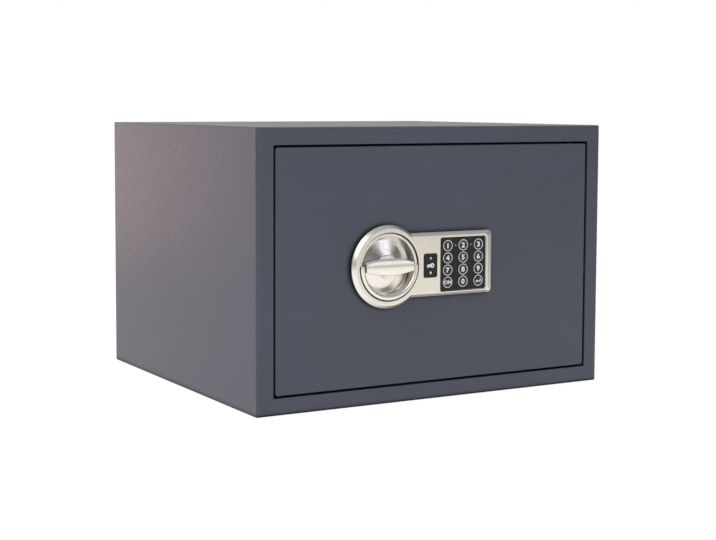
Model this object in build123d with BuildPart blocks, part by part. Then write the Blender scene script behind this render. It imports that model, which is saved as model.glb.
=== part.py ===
from build123d import *

import math
import os

# A small steel safe with an electronic lock, in millimetres.
# Origin: centre of the cabinet's base. +Z is up and -Y is the front, where the door is.

# ---------------------------------------------------------------- cabinet
body_width = 445.0
body_depth = 400.0
body_height = 300.0
body_sheet = 2.0
corner_radius = 1.2
front_bend_radius = 4.0
frame_border = 18.5
frame_skirt = 6.0
jamb_depth = 33.0
jamb_sheet = 2.0
stop_width = 8.0
stop_sheet = 2.0
stop_clearance = 0.5
mat_thickness = 2.5
mat_margin = 1.5
anchor_radius = 5.5
anchor_spacing = 200.0
floor_anchor_y = 60.0
mat_hole_radius = 9.0

# ---------------------------------------------------------------- door leaf
door_gap = 2.5
door_sheet = 4.0
door_corner_radius = 3.0
door_edge_radius = 1.2
pan_depth = 40.0
pan_sheet = 1.5
pan_inset_free = 11.5
pan_inset_hinge = 29.5
pan_inset_height = 8.0
pan_corner_radius = 4.0
post_radius = 4.0
post_inset = 9.0
cover_sheet = 1.5
screw_radius = 1.9
screw_depth = 8.0
screw_head_radius = 3.5
screw_head_height = 2.0
hinge_pin_radius = 3.0
hinge_pin_reach = 18.0
hinge_collar_radius = 6.0
hinge_collar_gap = 0.1
hinge_inset = 20.0
hinge_wall = 1.0
hinge_block_width = 14.0
hinge_block_depth = 12.0
hinge_block_height = 20.0
dog_reach = 8.0
dog_sheet = 3.0
dog_height = 180.0
dog_leg = 20.0
dog_setback = 5.0

# ---------------------------------------------------------------- angles and fits
right_angle = 90.0
straight_angle = 180.0
running_fit = 0.05
slide_clearance = 0.3
loose_clearance = 0.5

# ---------------------------------------------------------------- lock plate and knob
lock_x = -69.0
lock_rise = 0.0
plate_thickness = 9.0
plate_bevel_depth = 4.0
plate_round_radius = 45.0
plate_round_bevel = 3.6
plate_half_height = 35.0
plate_end_reach = 135.0
plate_end_bevel = 7.5
plate_corner_radius = 5.0
plate_neck_radius = 6.0
plate_stud_radius = 2.0
plate_stud_inset = 4.6
plate_stud_rise = 23.0
plate_stud_angle = 60.0
plate_stud_grip = 3.0
nut_radius = 4.0
nut_height = 3.0
nut_sides = 6
dial_radius = 36.0
dial_gap = 0.8
dial_rim_drop = 2.0
dial_wall = 2.5
dial_floor_radius = 29.0
dial_floor_drop = 10.0
dial_floor_thickness = 1.6
dial_skirt_radius = 32.5
dial_skirt_clearance = 1.0
hub_radius = 12.5
hub_drop = 2.6
hub_step = 1.9
half_ring_width = 5.5
half_ring_proud = 2.0
grip_half_length = 29.8
grip_half_height = 9.3
grip_end_half_height = 4.5
grip_proud = 3.2
grip_crown_radius = 19.0
grip_edge_radius = 0.7
spindle_radius = 5.0
spindle_socket = 5.0
spindle_tail = 1.2
bush_radius = 8.0
carrier_width = 84.0
carrier_height = 44.0
carrier_sheet = 3.0
cam_radius = 25.0
cam_sheet = 3.0
cam_pin_radius = 3.0
cam_pin_offset = 20.0
cam_half_turn = 30.0
cam_pin_play = 0.6

# ---------------------------------------------------------------- bolt work
bolt_radius = 8.0
bolt_setback = 22.0
bolt_tip_gap = 10.0
bolt_tip_chamfer = 1.5
bolt_shank_radius = 4.0
bolt_head_radius = 6.0
bolt_head_height = 3.0
strike_clearance = 2.0
bar_sheet = 3.0
bar_setback = 10.0
bar_end_clearance = 54.0
bar_end_margin = 12.0
bar_free_inset = 50.0
bar_hinge_reach = 24.0
bar_flange_depth = 22.0
stud_radius = 3.0
stud_head_radius = 6.0
stud_head_height = 2.5
stud_offset = 30.0
guide_sheet = 3.0
guide_inset = 18.0
guide_depth = 34.0
guide_margin = 15.0
plunger_radius = 3.0
plunger_offset = 65.0
plunger_gap = 2.0
plunger_tip_radius = 1.0
plunger_length = 28.0
tab_drop = 8.0
tab_lap = 12.0
tab_width = 8.0
tab_corner = 1.5
coil_radius = 7.5
coil_height = 26.0
solenoid_sheet = 1.5
solenoid_width = 22.0
solenoid_depth = 19.0
solenoid_top_gap = 10.0

# ---------------------------------------------------------------- key lock and its cover
key_lock_offset = 51.9
key_lock_drop = 0.9
key_cover_width = 16.9
key_cover_height = 25.6
key_cover_corner = 2.0
key_cover_sheet = 2.0
key_cover_proud = 0.4
key_cover_gap = 0.3
key_peg_radius = 1.2
key_peg_spacing = 20.6
key_peg_length = 3.0
barrel_radius = 7.5
barrel_length = 22.0
barrel_recess = 0.4
plug_radius = 5.5
plug_tail = 2.0
keyway_width = 1.8
keyway_height = 8.0
keyway_depth = 14.0
key_cam_length = 15.0
key_cam_width = 9.0
key_cam_sheet = 1.5

# ---------------------------------------------------------------- keypad
keypad_offset = 94.6
keypad_lift = -0.4
keypad_width = 59.4
keypad_tall = 58.3
keypad_corner = 2.0
keypad_sheet = 1.5
keypad_drop = 0.5
keypad_ledge = 1.2
keypad_wall = 1.0
keypad_wall_depth = 3.0
keypad_board_sheet = 1.6
key_radius = 6.2
key_gap = 0.25
key_pitch_x = 20.2
key_pitch_z = 13.4
key_proud = 0.35
key_travel = 0.8
key_length = 3.4
dome_radius = 2.5
light_radius = 1.15
wiring_hole_radius = 6.0
key_names = ("1", "2", "3", "4", "5", "6", "7", "8", "9", "on", "0", "enter")
key_columns = 3

# ---------------------------------------------------------------- electronics
board_width = 60.0
board_height = 80.0
board_sheet = 1.6
board_offset = 12.4
board_standoff = 6.0
standoff_radius = 2.5
standoff_inset = 4.0
buzzer_radius = 6.0
buzzer_height = 7.0
buzzer_rise = 20.0
holder_margin = 20.0
holder_drop = 12.0
holder_wall = 1.5
holder_depth = 20.0
cell_radius = 7.25
cell_length = 50.5
cell_pitch = 15.0
cell_count = 4
cell_clearance = 0.5
cell_seat_gap = 0.1
lid_overlap = 4.0
lid_sheet = 2.0
lid_edge_radius = 0.5
rail_width = 3.0
rail_lip = 3.0
reset_offset = 20.0
reset_rise = 65.0
reset_radius = 3.0
reset_proud = 2.0
reset_travel = 2.0
reset_length = 9.5
reset_block = 12.0
reset_block_depth = 12.0
reset_edge_radius = 0.5

# ---------------------------------------------------------------- places worked out from the sizes above
front_y = -body_depth / 2
back_y = body_depth / 2
opening_width = body_width - 2 * frame_border
opening_height = body_height - 2 * frame_border
middle_z = body_height / 2
door_width = opening_width - 2 * door_gap
door_height = opening_height - 2 * door_gap
door_back_y = front_y + door_sheet
pan_width = door_width - pan_inset_free - pan_inset_hinge
pan_height = door_height - 2 * pan_inset_height
pan_x = (pan_inset_free - pan_inset_hinge) / 2
pan_free_x = -door_width / 2 + pan_inset_free
pan_hinge_x = door_width / 2 - pan_inset_hinge
pan_back_y = door_back_y + pan_depth
cover_back_y = pan_back_y + cover_sheet
hinge_x = door_width / 2 - hinge_inset
hinge_y = door_back_y + hinge_wall + hinge_pin_radius
lock_height = middle_z + lock_rise
key_lock_x = lock_x + key_lock_offset
key_lock_height = lock_height - key_lock_drop
keypad_x = lock_x + keypad_offset
keypad_height = lock_height + keypad_lift
plate_front_y = front_y - plate_thickness
bolt_y = door_back_y + bolt_setback
bar_height = pan_height - 2 * bar_end_clearance
bolt_spacing = bar_height - 2 * bar_end_margin
bolt_heights = (middle_z - bolt_spacing / 2, middle_z + bolt_spacing / 2)
bolt_tip_x = -opening_width / 2 + bolt_tip_gap
bar_y = door_back_y + bar_setback
bar_free_x = pan_free_x + bar_free_inset
bar_hinge_x = lock_x + bar_hinge_reach
stud_x = bar_free_x + stud_offset
guide_x = pan_free_x + guide_inset
plunger_x = bar_free_x + plunger_offset
bar_bottom_z = middle_z - bar_height / 2
bolt_throw = 2 * cam_pin_offset * math.sin(math.radians(cam_half_turn))
dial_rim_y = plate_front_y + dial_rim_drop
dial_floor_y = plate_front_y + dial_floor_drop
dial_back_y = dial_floor_y + dial_floor_thickness
hub_y = plate_front_y + hub_drop
carrier_back_y = door_back_y + carrier_sheet
cam_y = carrier_back_y + slide_clearance
cam_back_y = cam_y + cam_sheet
keypad_face_y = plate_front_y + keypad_drop
keypad_seat_y = keypad_face_y + keypad_sheet
keypad_wall_y = keypad_seat_y + keypad_wall_depth
key_face_y = keypad_face_y - key_proud
key_back_y = key_face_y + key_length
window_width = keypad_width - 2 * keypad_ledge
window_tall = keypad_tall - 2 * keypad_ledge
key_seat_y = plate_front_y - key_cover_proud + key_cover_sheet + key_cover_gap
holder_width = cell_length + 2 * (cell_clearance + holder_wall)
holder_tall = cell_count * cell_pitch + 2 * (cell_clearance + holder_wall)
holder_x = pan_hinge_x - pan_sheet - holder_margin - holder_width / 2
holder_height = middle_z - holder_drop
board_x = keypad_x + board_offset
reset_x = board_x + reset_offset
reset_height = middle_z + reset_rise
lid_width = holder_width + 2 * lid_overlap
lid_tall = holder_tall + 2 * lid_overlap
lid_front_y = cover_back_y + slide_clearance
tab_bottom_z = bar_bottom_z - tab_drop
solenoid_top_z = tab_bottom_z - solenoid_top_gap
solenoid_bottom_z = solenoid_top_z - coil_height - 2 * solenoid_sheet
tab_y = bar_y + bar_sheet
solenoid_y = tab_y + bar_sheet / 2


def face_at(y):
    """The upright plane at depth y, seen from the front: extrusions go forwards, to -Y."""
    return Plane.XZ.offset(-y)


def write(builder, name):
    """Labels one finished piece and writes its STEP file."""
    builder.part.label = name
    export_step(builder.part, f"parts/{name}.step")


def front_ring(outer_width, outer_height, inner_width, inner_height, centre_x=0.0):
    """A rectangular ring in the current sketch, centred on the door's middle height."""
    with Locations((centre_x, middle_z)):
        Rectangle(outer_width, outer_height)
        Rectangle(inner_width, inner_height, mode=Mode.SUBTRACT)


# ================================================================ cabinet
def body_shell():
    """The top, floor and sides, bent from one sheet."""
    with BuildPart() as shell:
        with BuildSketch(face_at(back_y)):
            with Locations((0, middle_z)):
                RectangleRounded(body_width, body_height, corner_radius)
                Rectangle(body_width - 2 * body_sheet, body_height - 2 * body_sheet, mode=Mode.SUBTRACT)
        extrude(amount=body_depth - frame_skirt)
        with BuildSketch(Plane.XY):
            with Locations((0, floor_anchor_y)):
                with GridLocations(anchor_spacing, 1, 2, 1):
                    Circle(anchor_radius)
        extrude(amount=body_sheet, mode=Mode.SUBTRACT)
    write(shell, "body_shell")


def front_frame():
    """The border round the door, turned back into the walls on a bend."""
    with BuildPart() as front:
        with BuildSketch(face_at(front_y + frame_skirt)):
            with Locations((0, middle_z)):
                RectangleRounded(body_width, body_height, corner_radius)
        extrude(amount=frame_skirt)
        fillet(front.faces().sort_by(Axis.Y)[0].edges(), front_bend_radius)
        with BuildSketch(face_at(front_y + frame_skirt)):
            with Locations((0, middle_z)):
                Rectangle(body_width - 2 * body_sheet, body_height - 2 * body_sheet)
        extrude(amount=frame_skirt - body_sheet, mode=Mode.SUBTRACT)
        with BuildSketch(face_at(front_y)):
            with Locations((0, middle_z)):
                Rectangle(opening_width, opening_height)
        extrude(amount=-body_sheet, mode=Mode.SUBTRACT)
    write(front, "front_frame")


def jamb_frame():
    """The folded return on the top, bottom and hinge side of the opening."""
    with BuildPart() as jamb:
        with BuildSketch(face_at(front_y + body_sheet)):
            front_ring(
                opening_width + 2 * jamb_sheet,
                opening_height + 2 * jamb_sheet,
                opening_width,
                opening_height,
            )
            with Locations((-opening_width / 2, middle_z)):
                Rectangle(
                    jamb_sheet,
                    opening_height + 2 * jamb_sheet,
                    align=(Align.MAX, Align.CENTER),
                    mode=Mode.SUBTRACT,
                )
        extrude(amount=-jamb_depth)
        with BuildSketch(Plane.XY):
            with Locations((hinge_x, hinge_y)):
                Circle(hinge_pin_radius)
        extrude(amount=body_height, mode=Mode.SUBTRACT)
    write(jamb, "jamb_frame")


def strike_jamb():
    """The return on the free side, with a square slot for each bolt."""
    slot_size = 2 * (bolt_radius + strike_clearance)
    with BuildPart() as strike:
        with BuildSketch(Plane.YZ.offset(-opening_width / 2)):
            with Locations((front_y + body_sheet, middle_z)):
                Rectangle(
                    jamb_depth,
                    opening_height + 2 * jamb_sheet,
                    align=(Align.MIN, Align.CENTER),
                )
            with Locations(*[(bolt_y, z) for z in bolt_heights]):
                Rectangle(slot_size, slot_size, mode=Mode.SUBTRACT)
        extrude(amount=-jamb_sheet)
    write(strike, "strike_jamb")


def door_stop():
    stop_end_x = hinge_x - hinge_block_width
    with BuildPart() as stop:
        with BuildSketch(face_at(door_back_y + stop_clearance)):
            front_ring(
                opening_width,
                opening_height,
                opening_width - 2 * stop_width,
                opening_height - 2 * stop_width,
            )
            with Locations((stop_end_x, middle_z)):
                Rectangle(opening_width, opening_height, align=(Align.MIN, Align.CENTER), mode=Mode.SUBTRACT)
        extrude(amount=-stop_sheet)
    write(stop, "door_stop")


def back_panel():
    with BuildPart() as panel:
        with BuildSketch(face_at(back_y)):
            with Locations((0, middle_z)):
                Rectangle(body_width - 2 * body_sheet, body_height - 2 * body_sheet)
                with GridLocations(anchor_spacing, 1, 2, 1):
                    Circle(anchor_radius, mode=Mode.SUBTRACT)
        extrude(amount=body_sheet)
    write(panel, "back_panel")


def floor_mat():
    mat_front_y = front_y + body_sheet + jamb_depth + mat_margin
    mat_back_y = back_y - body_sheet - mat_margin
    with BuildPart() as mat:
        with BuildSketch(Plane.XY.offset(body_sheet)):
            with Locations((0, (mat_front_y + mat_back_y) / 2)):
                Rectangle(body_width - 2 * (body_sheet + mat_margin), mat_back_y - mat_front_y)
            with Locations((0, floor_anchor_y)):
                with GridLocations(anchor_spacing, 1, 2, 1):
                    Circle(mat_hole_radius, mode=Mode.SUBTRACT)
        extrude(amount=mat_thickness)
    write(mat, "floor_mat")


def hinge_pin(name, jamb_z, inward):
    """A pin set through the jamb, with a collar that carries the door's hinge block."""
    with BuildPart() as pin:
        with BuildSketch(Plane.XY.offset(jamb_z - inward * jamb_sheet)):
            with Locations((hinge_x, hinge_y)):
                Circle(hinge_pin_radius)
        extrude(amount=inward * (jamb_sheet + door_gap + hinge_pin_reach))
        with BuildSketch(Plane.XY.offset(jamb_z)):
            with Locations((hinge_x, hinge_y)):
                Circle(hinge_collar_radius)
        extrude(amount=inward * (door_gap - hinge_collar_gap))
    write(pin, name)


# ================================================================ door leaf
def plate_stud_places():
    """Centres of the four studs that hold the lock plate, as (x, z)."""
    ring_radius = (plate_round_radius - plate_round_bevel + dial_radius + dial_gap) / 2
    angle = math.radians(plate_stud_angle)
    end_x = keypad_x + keypad_width / 2 + plate_stud_inset / 2
    return [
        (lock_x - ring_radius * math.cos(angle), lock_height + ring_radius * math.sin(angle)),
        (lock_x - ring_radius * math.cos(angle), lock_height - ring_radius * math.sin(angle)),
        (end_x, lock_height + plate_stud_rise),
        (end_x, lock_height - plate_stud_rise),
    ]


def door_plate():
    with BuildPart() as plate:
        with BuildSketch(face_at(door_back_y)):
            with Locations((0, middle_z)):
                Rectangle(door_width, door_height)
        extrude(amount=door_sheet)
        fillet(plate.edges().filter_by(Axis.Y), door_corner_radius)
        fillet(plate.faces().sort_by(Axis.Y)[0].edges(), door_edge_radius)
        with BuildSketch(face_at(door_back_y)):
            with Locations((lock_x, lock_height)):
                Circle(dial_skirt_radius + loose_clearance)
            with Locations((key_lock_x, key_lock_height)):
                Circle(barrel_radius)
            with Locations((keypad_x, keypad_height)):
                Circle(wiring_hole_radius)
            with Locations(*plate_stud_places()):
                Circle(plate_stud_radius)
        extrude(amount=door_sheet, mode=Mode.SUBTRACT)
    write(plate, "door_plate")


def post_places():
    """Centres of the four cover posts, as (x, z)."""
    half_width = pan_width / 2 - post_inset
    half_height = pan_height / 2 - post_inset
    return [(pan_x + i * half_width, middle_z + j * half_height) for i in (-1, 1) for j in (-1, 1)]


def door_pan():
    with BuildPart() as pan:
        with BuildSketch(face_at(door_back_y)):
            with Locations((pan_x, middle_z)):
                RectangleRounded(pan_width, pan_height, pan_corner_radius)
                RectangleRounded(
                    pan_width - 2 * pan_sheet,
                    pan_height - 2 * pan_sheet,
                    pan_corner_radius - pan_sheet,
                    mode=Mode.SUBTRACT,
                )
        extrude(amount=-pan_depth)
        with BuildSketch(face_at(door_back_y)):
            with Locations(*post_places()):
                Circle(post_radius)
            with Locations(*[(x + math.copysign(post_inset / 2, x - pan_x), z) for x, z in post_places()]):
                Rectangle(post_inset, pan_sheet)
        extrude(amount=-pan_depth)
        with BuildSketch(face_at(pan_back_y)):
            with Locations(*post_places()):
                Circle(screw_radius)
        extrude(amount=screw_depth, mode=Mode.SUBTRACT)
        with BuildSketch(Plane.YZ.offset(pan_free_x)):
            with Locations(*[(bolt_y, z) for z in bolt_heights]):
                Circle(bolt_radius + slide_clearance)
        extrude(amount=pan_sheet, mode=Mode.SUBTRACT)
    write(pan, "door_pan")


def door_cover():
    with BuildPart() as cover:
        with BuildSketch(face_at(cover_back_y)):
            with Locations((pan_x, middle_z)):
                RectangleRounded(pan_width, pan_height, pan_corner_radius)
            with Locations(*post_places()):
                Circle(screw_radius, mode=Mode.SUBTRACT)
            with Locations((holder_x, holder_height)):
                Rectangle(holder_width - 2 * holder_wall, holder_tall - 2 * holder_wall, mode=Mode.SUBTRACT)
            with Locations((reset_x, reset_height)):
                Circle(reset_radius + slide_clearance, mode=Mode.SUBTRACT)
        extrude(amount=cover_sheet)
    write(cover, "door_cover")


def cover_screws():
    with BuildPart() as screws:
        with BuildSketch(face_at(cover_back_y)):
            with Locations(*post_places()):
                Circle(screw_radius)
        extrude(amount=cover_sheet + screw_depth)
        with BuildSketch(face_at(cover_back_y)):
            with Locations(*post_places()):
                Circle(screw_head_radius)
        extrude(amount=-screw_head_height)
        fillet(screws.edges().filter_by(GeomType.CIRCLE).group_by(Axis.Y)[-1], screw_head_height / 2)
    write(screws, "cover_screws")


def hinge_block(name, outer_z, inward):
    with BuildPart() as block:
        with BuildSketch(Plane.XY.offset(outer_z)):
            with Locations((hinge_x, door_back_y)):
                Rectangle(hinge_block_width, hinge_block_depth, align=(Align.CENTER, Align.MIN))
            with Locations((hinge_x, hinge_y)):
                Circle(hinge_pin_radius + running_fit, mode=Mode.SUBTRACT)
        extrude(amount=inward * hinge_block_height)
    write(block, name)


def hinge_dog():
    """The strip that hooks behind the jamb on the hinge side."""
    strip_y = front_y + body_sheet + jamb_depth + dog_setback
    with BuildPart() as dog:
        with BuildSketch(Plane.XY.offset(middle_z - dog_height / 2)):
            with Locations((pan_hinge_x, strip_y)):
                Rectangle(
                    opening_width / 2 + dog_reach - pan_hinge_x,
                    dog_sheet,
                    align=(Align.MIN, Align.MIN),
                )
                Rectangle(dog_sheet, dog_leg, align=(Align.MIN, Align.MAX))
        extrude(amount=dog_height)
    write(dog, "hinge_dog")


# ================================================================ lock plate and knob
def plate_outline(outline, round_radius, half_height, end_x, corner_radius):
    """Draws the lock plate in the sketch called outline: a disc round the knob with a bar to its right."""
    with Locations((lock_x, lock_height)):
        Circle(round_radius)
        Rectangle(end_x - lock_x, 2 * half_height, align=(Align.MIN, Align.CENTER))
    fillet(outline.vertices().sort_by(Axis.X)[-2:], corner_radius)
    fillet(outline.vertices().sort_by(Axis.X)[:2], plate_neck_radius)


def lock_plate():
    base_end_x = lock_x + plate_end_reach
    bevel_y = plate_front_y + plate_bevel_depth
    outlines = []
    with BuildPart() as plate:
        for y, inset, end_inset in (
            (bevel_y, 0.0, 0.0),
            (plate_front_y, plate_round_bevel, plate_end_bevel),
        ):
            with BuildSketch(face_at(y)) as outline:
                plate_outline(
                    outline,
                    plate_round_radius - inset,
                    plate_half_height - inset,
                    base_end_x - end_inset,
                    plate_corner_radius - inset / 2,
                )
            outlines.append(outline.sketch)
        loft(ruled=True)
        extrude(outlines[0], amount=-(plate_thickness - plate_bevel_depth))
        with BuildSketch(face_at(front_y)):
            with Locations((lock_x, lock_height)):
                Circle(dial_radius + dial_gap)
            with Locations((keypad_x, keypad_height)):
                Rectangle(window_width, window_tall)
            with Locations((key_lock_x, key_lock_height)):
                Circle(barrel_radius)
                with GridLocations(1, key_peg_spacing, 1, 2):
                    Circle(key_peg_radius + key_cover_gap)
        extrude(amount=plate_thickness, mode=Mode.SUBTRACT)
        with BuildSketch(face_at(plate_front_y)):
            with Locations((keypad_x, keypad_height)):
                RectangleRounded(keypad_width, keypad_tall, keypad_corner)
        extrude(amount=-(keypad_drop + keypad_sheet), mode=Mode.SUBTRACT)
        with BuildSketch(face_at(plate_front_y)):
            with Locations((key_lock_x, key_lock_height)):
                RectangleRounded(
                    key_cover_width + 2 * key_cover_gap,
                    key_cover_height + 2 * key_cover_gap,
                    key_cover_corner + key_cover_gap,
                )
        extrude(amount=-(key_cover_sheet + key_cover_gap - key_cover_proud), mode=Mode.SUBTRACT)
        with BuildSketch(face_at(front_y)):
            with Locations(*plate_stud_places()):
                Circle(plate_stud_radius)
        extrude(amount=plate_stud_grip, mode=Mode.SUBTRACT)
    write(plate, "lock_plate")


def lock_plate_studs():
    """Four studs set in the lock plate, each with a hexagonal nut behind the door plate."""
    with BuildPart() as studs:
        with BuildSketch(face_at(door_back_y + nut_height)):
            with Locations(*plate_stud_places()):
                Circle(plate_stud_radius)
        extrude(amount=nut_height + door_sheet + plate_stud_grip)
        with BuildSketch(face_at(door_back_y + nut_height)):
            with Locations(*plate_stud_places()):
                RegularPolygon(nut_radius, nut_sides)
        extrude(amount=nut_height)
    write(studs, "lock_plate_studs")


def knob_dial():
    """The turning bowl: a conical dish round a low hub, with a raised half ring below the grip."""
    axis_plane = Plane(origin=(lock_x, 0, lock_height), x_dir=(1, 0, 0), z_dir=(0, 0, 1))
    axis = Axis((lock_x, 0, lock_height), (0, 1, 0))
    skirt_y = front_y - dial_skirt_clearance
    ring_inner = dial_radius - half_ring_width
    ring_centre = dial_radius - half_ring_width / 2
    ring_top_y = plate_front_y - half_ring_proud + half_ring_width / 2
    with BuildPart() as dial:
        with BuildSketch(axis_plane):
            with BuildLine():
                Polyline(
                    (0, hub_y),
                    (hub_radius, hub_y),
                    (hub_radius, hub_y + hub_step),
                    (dial_floor_radius, dial_floor_y),
                    (dial_radius - dial_wall, dial_rim_y),
                    (dial_radius, dial_rim_y),
                    (dial_radius, skirt_y),
                    (dial_skirt_radius, skirt_y),
                    (dial_skirt_radius, dial_back_y),
                    (0, dial_back_y),
                    close=True,
                )
            make_face()
        revolve(axis=axis)
        with BuildSketch(axis_plane):
            with BuildLine():
                Polyline(
                    (dial_radius, ring_top_y),
                    (dial_radius, dial_rim_y),
                    (dial_radius - dial_wall, dial_rim_y),
                    (dial_floor_radius, dial_floor_y),
                    (ring_inner, dial_rim_y),
                    (ring_inner, ring_top_y),
                )
                ThreePointArc(
                    (ring_inner, ring_top_y),
                    (ring_centre, ring_top_y - half_ring_width / 2),
                    (dial_radius, ring_top_y),
                )
            make_face()
        revolve(axis=axis, revolution_arc=straight_angle)
        with BuildSketch(face_at(dial_rim_y)):
            with Locations((lock_x - ring_centre, lock_height), (lock_x + ring_centre, lock_height)):
                Circle(half_ring_width / 2)
        extrude(amount=dial_rim_y - ring_top_y)
        with Locations(
            (lock_x - ring_centre, ring_top_y, lock_height),
            (lock_x + ring_centre, ring_top_y, lock_height),
        ):
            Sphere(half_ring_width / 2)
        with BuildSketch(face_at(dial_back_y)):
            with Locations((lock_x, lock_height)):
                Circle(spindle_radius)
        extrude(amount=spindle_socket, mode=Mode.SUBTRACT)
    write(dial, "knob_dial")


def knob_grip():
    """The lens-shaped bar across the dish, crowned from top to bottom."""
    front = plate_front_y - grip_proud
    with BuildPart() as grip:
        with BuildSketch(Plane(origin=(lock_x, hub_y, lock_height), x_dir=(1, 0, 0), z_dir=(0, -1, 0))):
            with BuildLine():
                upper = ThreePointArc(
                    (-grip_half_length, grip_end_half_height),
                    (0, grip_half_height),
                    (grip_half_length, grip_end_half_height),
                )
                lower = ThreePointArc(
                    (-grip_half_length, -grip_end_half_height),
                    (0, -grip_half_height),
                    (grip_half_length, -grip_end_half_height),
                )
                Line(upper @ 0, lower @ 0)
                Line(upper @ 1, lower @ 1)
            make_face()
        extrude(amount=hub_y - front)
        with BuildSketch(Plane.YZ.offset(lock_x - grip_half_length)):
            with Locations((front + grip_crown_radius, lock_height)):
                Circle(grip_crown_radius)
        extrude(amount=2 * grip_half_length, mode=Mode.INTERSECT)
        fillet(grip.edges().group_by(Axis.Y)[0], grip_edge_radius)
    write(grip, "knob_grip")


def spindle():
    with BuildPart() as shaft:
        with BuildSketch(face_at(cam_back_y + spindle_tail)):
            with Locations((lock_x, lock_height)):
                Circle(spindle_radius)
        extrude(amount=cam_back_y + spindle_tail - (dial_back_y - spindle_socket))
    write(shaft, "spindle")


def knob_carrier():
    """The bridge behind the door plate that carries the spindle's bush."""
    with BuildPart() as carrier:
        with BuildSketch(face_at(carrier_back_y)):
            with Locations((lock_x, lock_height)):
                Rectangle(carrier_width, carrier_height)
                Circle(bush_radius, mode=Mode.SUBTRACT)
        extrude(amount=carrier_sheet)
    write(carrier, "knob_carrier")


def spindle_bush():
    with BuildPart() as bush:
        with BuildSketch(face_at(carrier_back_y)):
            with Locations((lock_x, lock_height)):
                Circle(bush_radius)
                Circle(spindle_radius + running_fit, mode=Mode.SUBTRACT)
        extrude(amount=carrier_back_y - dial_back_y - slide_clearance)
    write(bush, "spindle_bush")


def drive_cam():
    """The disc on the spindle whose pin drives the bolt bar."""
    start = math.radians(cam_half_turn)
    pin_place = (lock_x + cam_pin_offset * math.sin(start), lock_height + cam_pin_offset * math.cos(start))
    with BuildPart() as cam:
        with BuildSketch(face_at(cam_back_y)):
            with Locations((lock_x, lock_height)):
                Circle(cam_radius)
                Circle(spindle_radius, mode=Mode.SUBTRACT)
        extrude(amount=cam_sheet)
        with BuildSketch(face_at(cam_back_y)):
            with Locations(pin_place):
                Circle(cam_pin_radius)
        extrude(amount=-(bar_y + bar_sheet + slide_clearance - cam_back_y))
    write(cam, "drive_cam")


# ================================================================ bolt work
def bolt_bar():
    """The sliding bar: an upright plate with a pin slot, guide slots and a bolt flange."""
    start = math.radians(cam_half_turn)
    slot_x = lock_x + cam_pin_offset * math.sin(start)
    slot_low_z = lock_height + cam_pin_offset * math.cos(start)
    slot_high_z = lock_height + cam_pin_offset
    slot_width = 2 * (cam_pin_radius + cam_pin_play)
    with BuildPart() as bar:
        with BuildSketch(face_at(bar_y + bar_sheet)):
            with Locations(((bar_free_x + bar_hinge_x) / 2, middle_z)):
                Rectangle(bar_hinge_x - bar_free_x, bar_height)
            with Locations((slot_x, (slot_low_z + slot_high_z) / 2)):
                SlotCenterToCenter(
                    slot_high_z - slot_low_z,
                    slot_width,
                    rotation=right_angle,
                    mode=Mode.SUBTRACT,
                )
            with Locations(*[(stud_x + bolt_throw / 2, z) for z in bolt_heights]):
                SlotCenterToCenter(bolt_throw, 2 * (stud_radius + slide_clearance), mode=Mode.SUBTRACT)
        extrude(amount=bar_sheet)
        with BuildSketch(Plane.YZ.offset(bar_free_x)):
            with Locations((bar_y, middle_z)):
                Rectangle(bar_flange_depth, bar_height, align=(Align.MIN, Align.CENTER))
            with Locations(*[(bolt_y, z) for z in bolt_heights]):
                Circle(bolt_shank_radius, mode=Mode.SUBTRACT)
        extrude(amount=bar_sheet)
    write(bar, "bolt_bar")


def lock_tab():
    """The tab welded behind the bar: once the bolts are out, the raised plunger stands in its way."""
    tab_free_x = plunger_x + bolt_throw - plunger_radius - loose_clearance - tab_width
    with BuildPart() as tab:
        with BuildSketch(face_at(tab_y + bar_sheet)):
            with Locations((tab_free_x, tab_bottom_z)):
                Rectangle(tab_width, tab_drop + tab_lap, align=(Align.MIN, Align.MIN))
        extrude(amount=bar_sheet)
        fillet(tab.edges().filter_by(Axis.Y).group_by(Axis.Z)[0], tab_corner)
    write(tab, "lock_tab")


def live_bolt(name, z):
    """One round bolt, riveted through the bar's flange."""
    flange_back_x = bar_free_x + bar_sheet
    with BuildPart() as bolt:
        with BuildSketch(Plane.YZ.offset(bar_free_x)):
            with Locations((bolt_y, z)):
                Circle(bolt_radius)
        extrude(amount=bolt_tip_x - bar_free_x)
        chamfer(bolt.faces().sort_by(Axis.X)[0].edges(), bolt_tip_chamfer)
        with BuildSketch(Plane.YZ.offset(bar_free_x)):
            with Locations((bolt_y, z)):
                Circle(bolt_shank_radius)
        extrude(amount=bar_sheet)
        with BuildSketch(Plane.YZ.offset(flange_back_x)):
            with Locations((bolt_y, z)):
                Circle(bolt_head_radius)
        extrude(amount=bolt_head_height)
        fillet(bolt.faces().sort_by(Axis.X)[-1].edges(), bolt_head_height / 2)
    write(bolt, name)


def bolt_guide():
    with BuildPart() as guide:
        with BuildSketch(Plane.YZ.offset(guide_x)):
            with Locations((door_back_y, middle_z)):
                Rectangle(
                    guide_depth,
                    bolt_spacing + 2 * (bolt_radius + guide_margin),
                    align=(Align.MIN, Align.CENTER),
                )
            with Locations(*[(bolt_y, z) for z in bolt_heights]):
                Circle(bolt_radius + slide_clearance, mode=Mode.SUBTRACT)
        extrude(amount=guide_sheet)
    write(guide, "bolt_guide")


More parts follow.
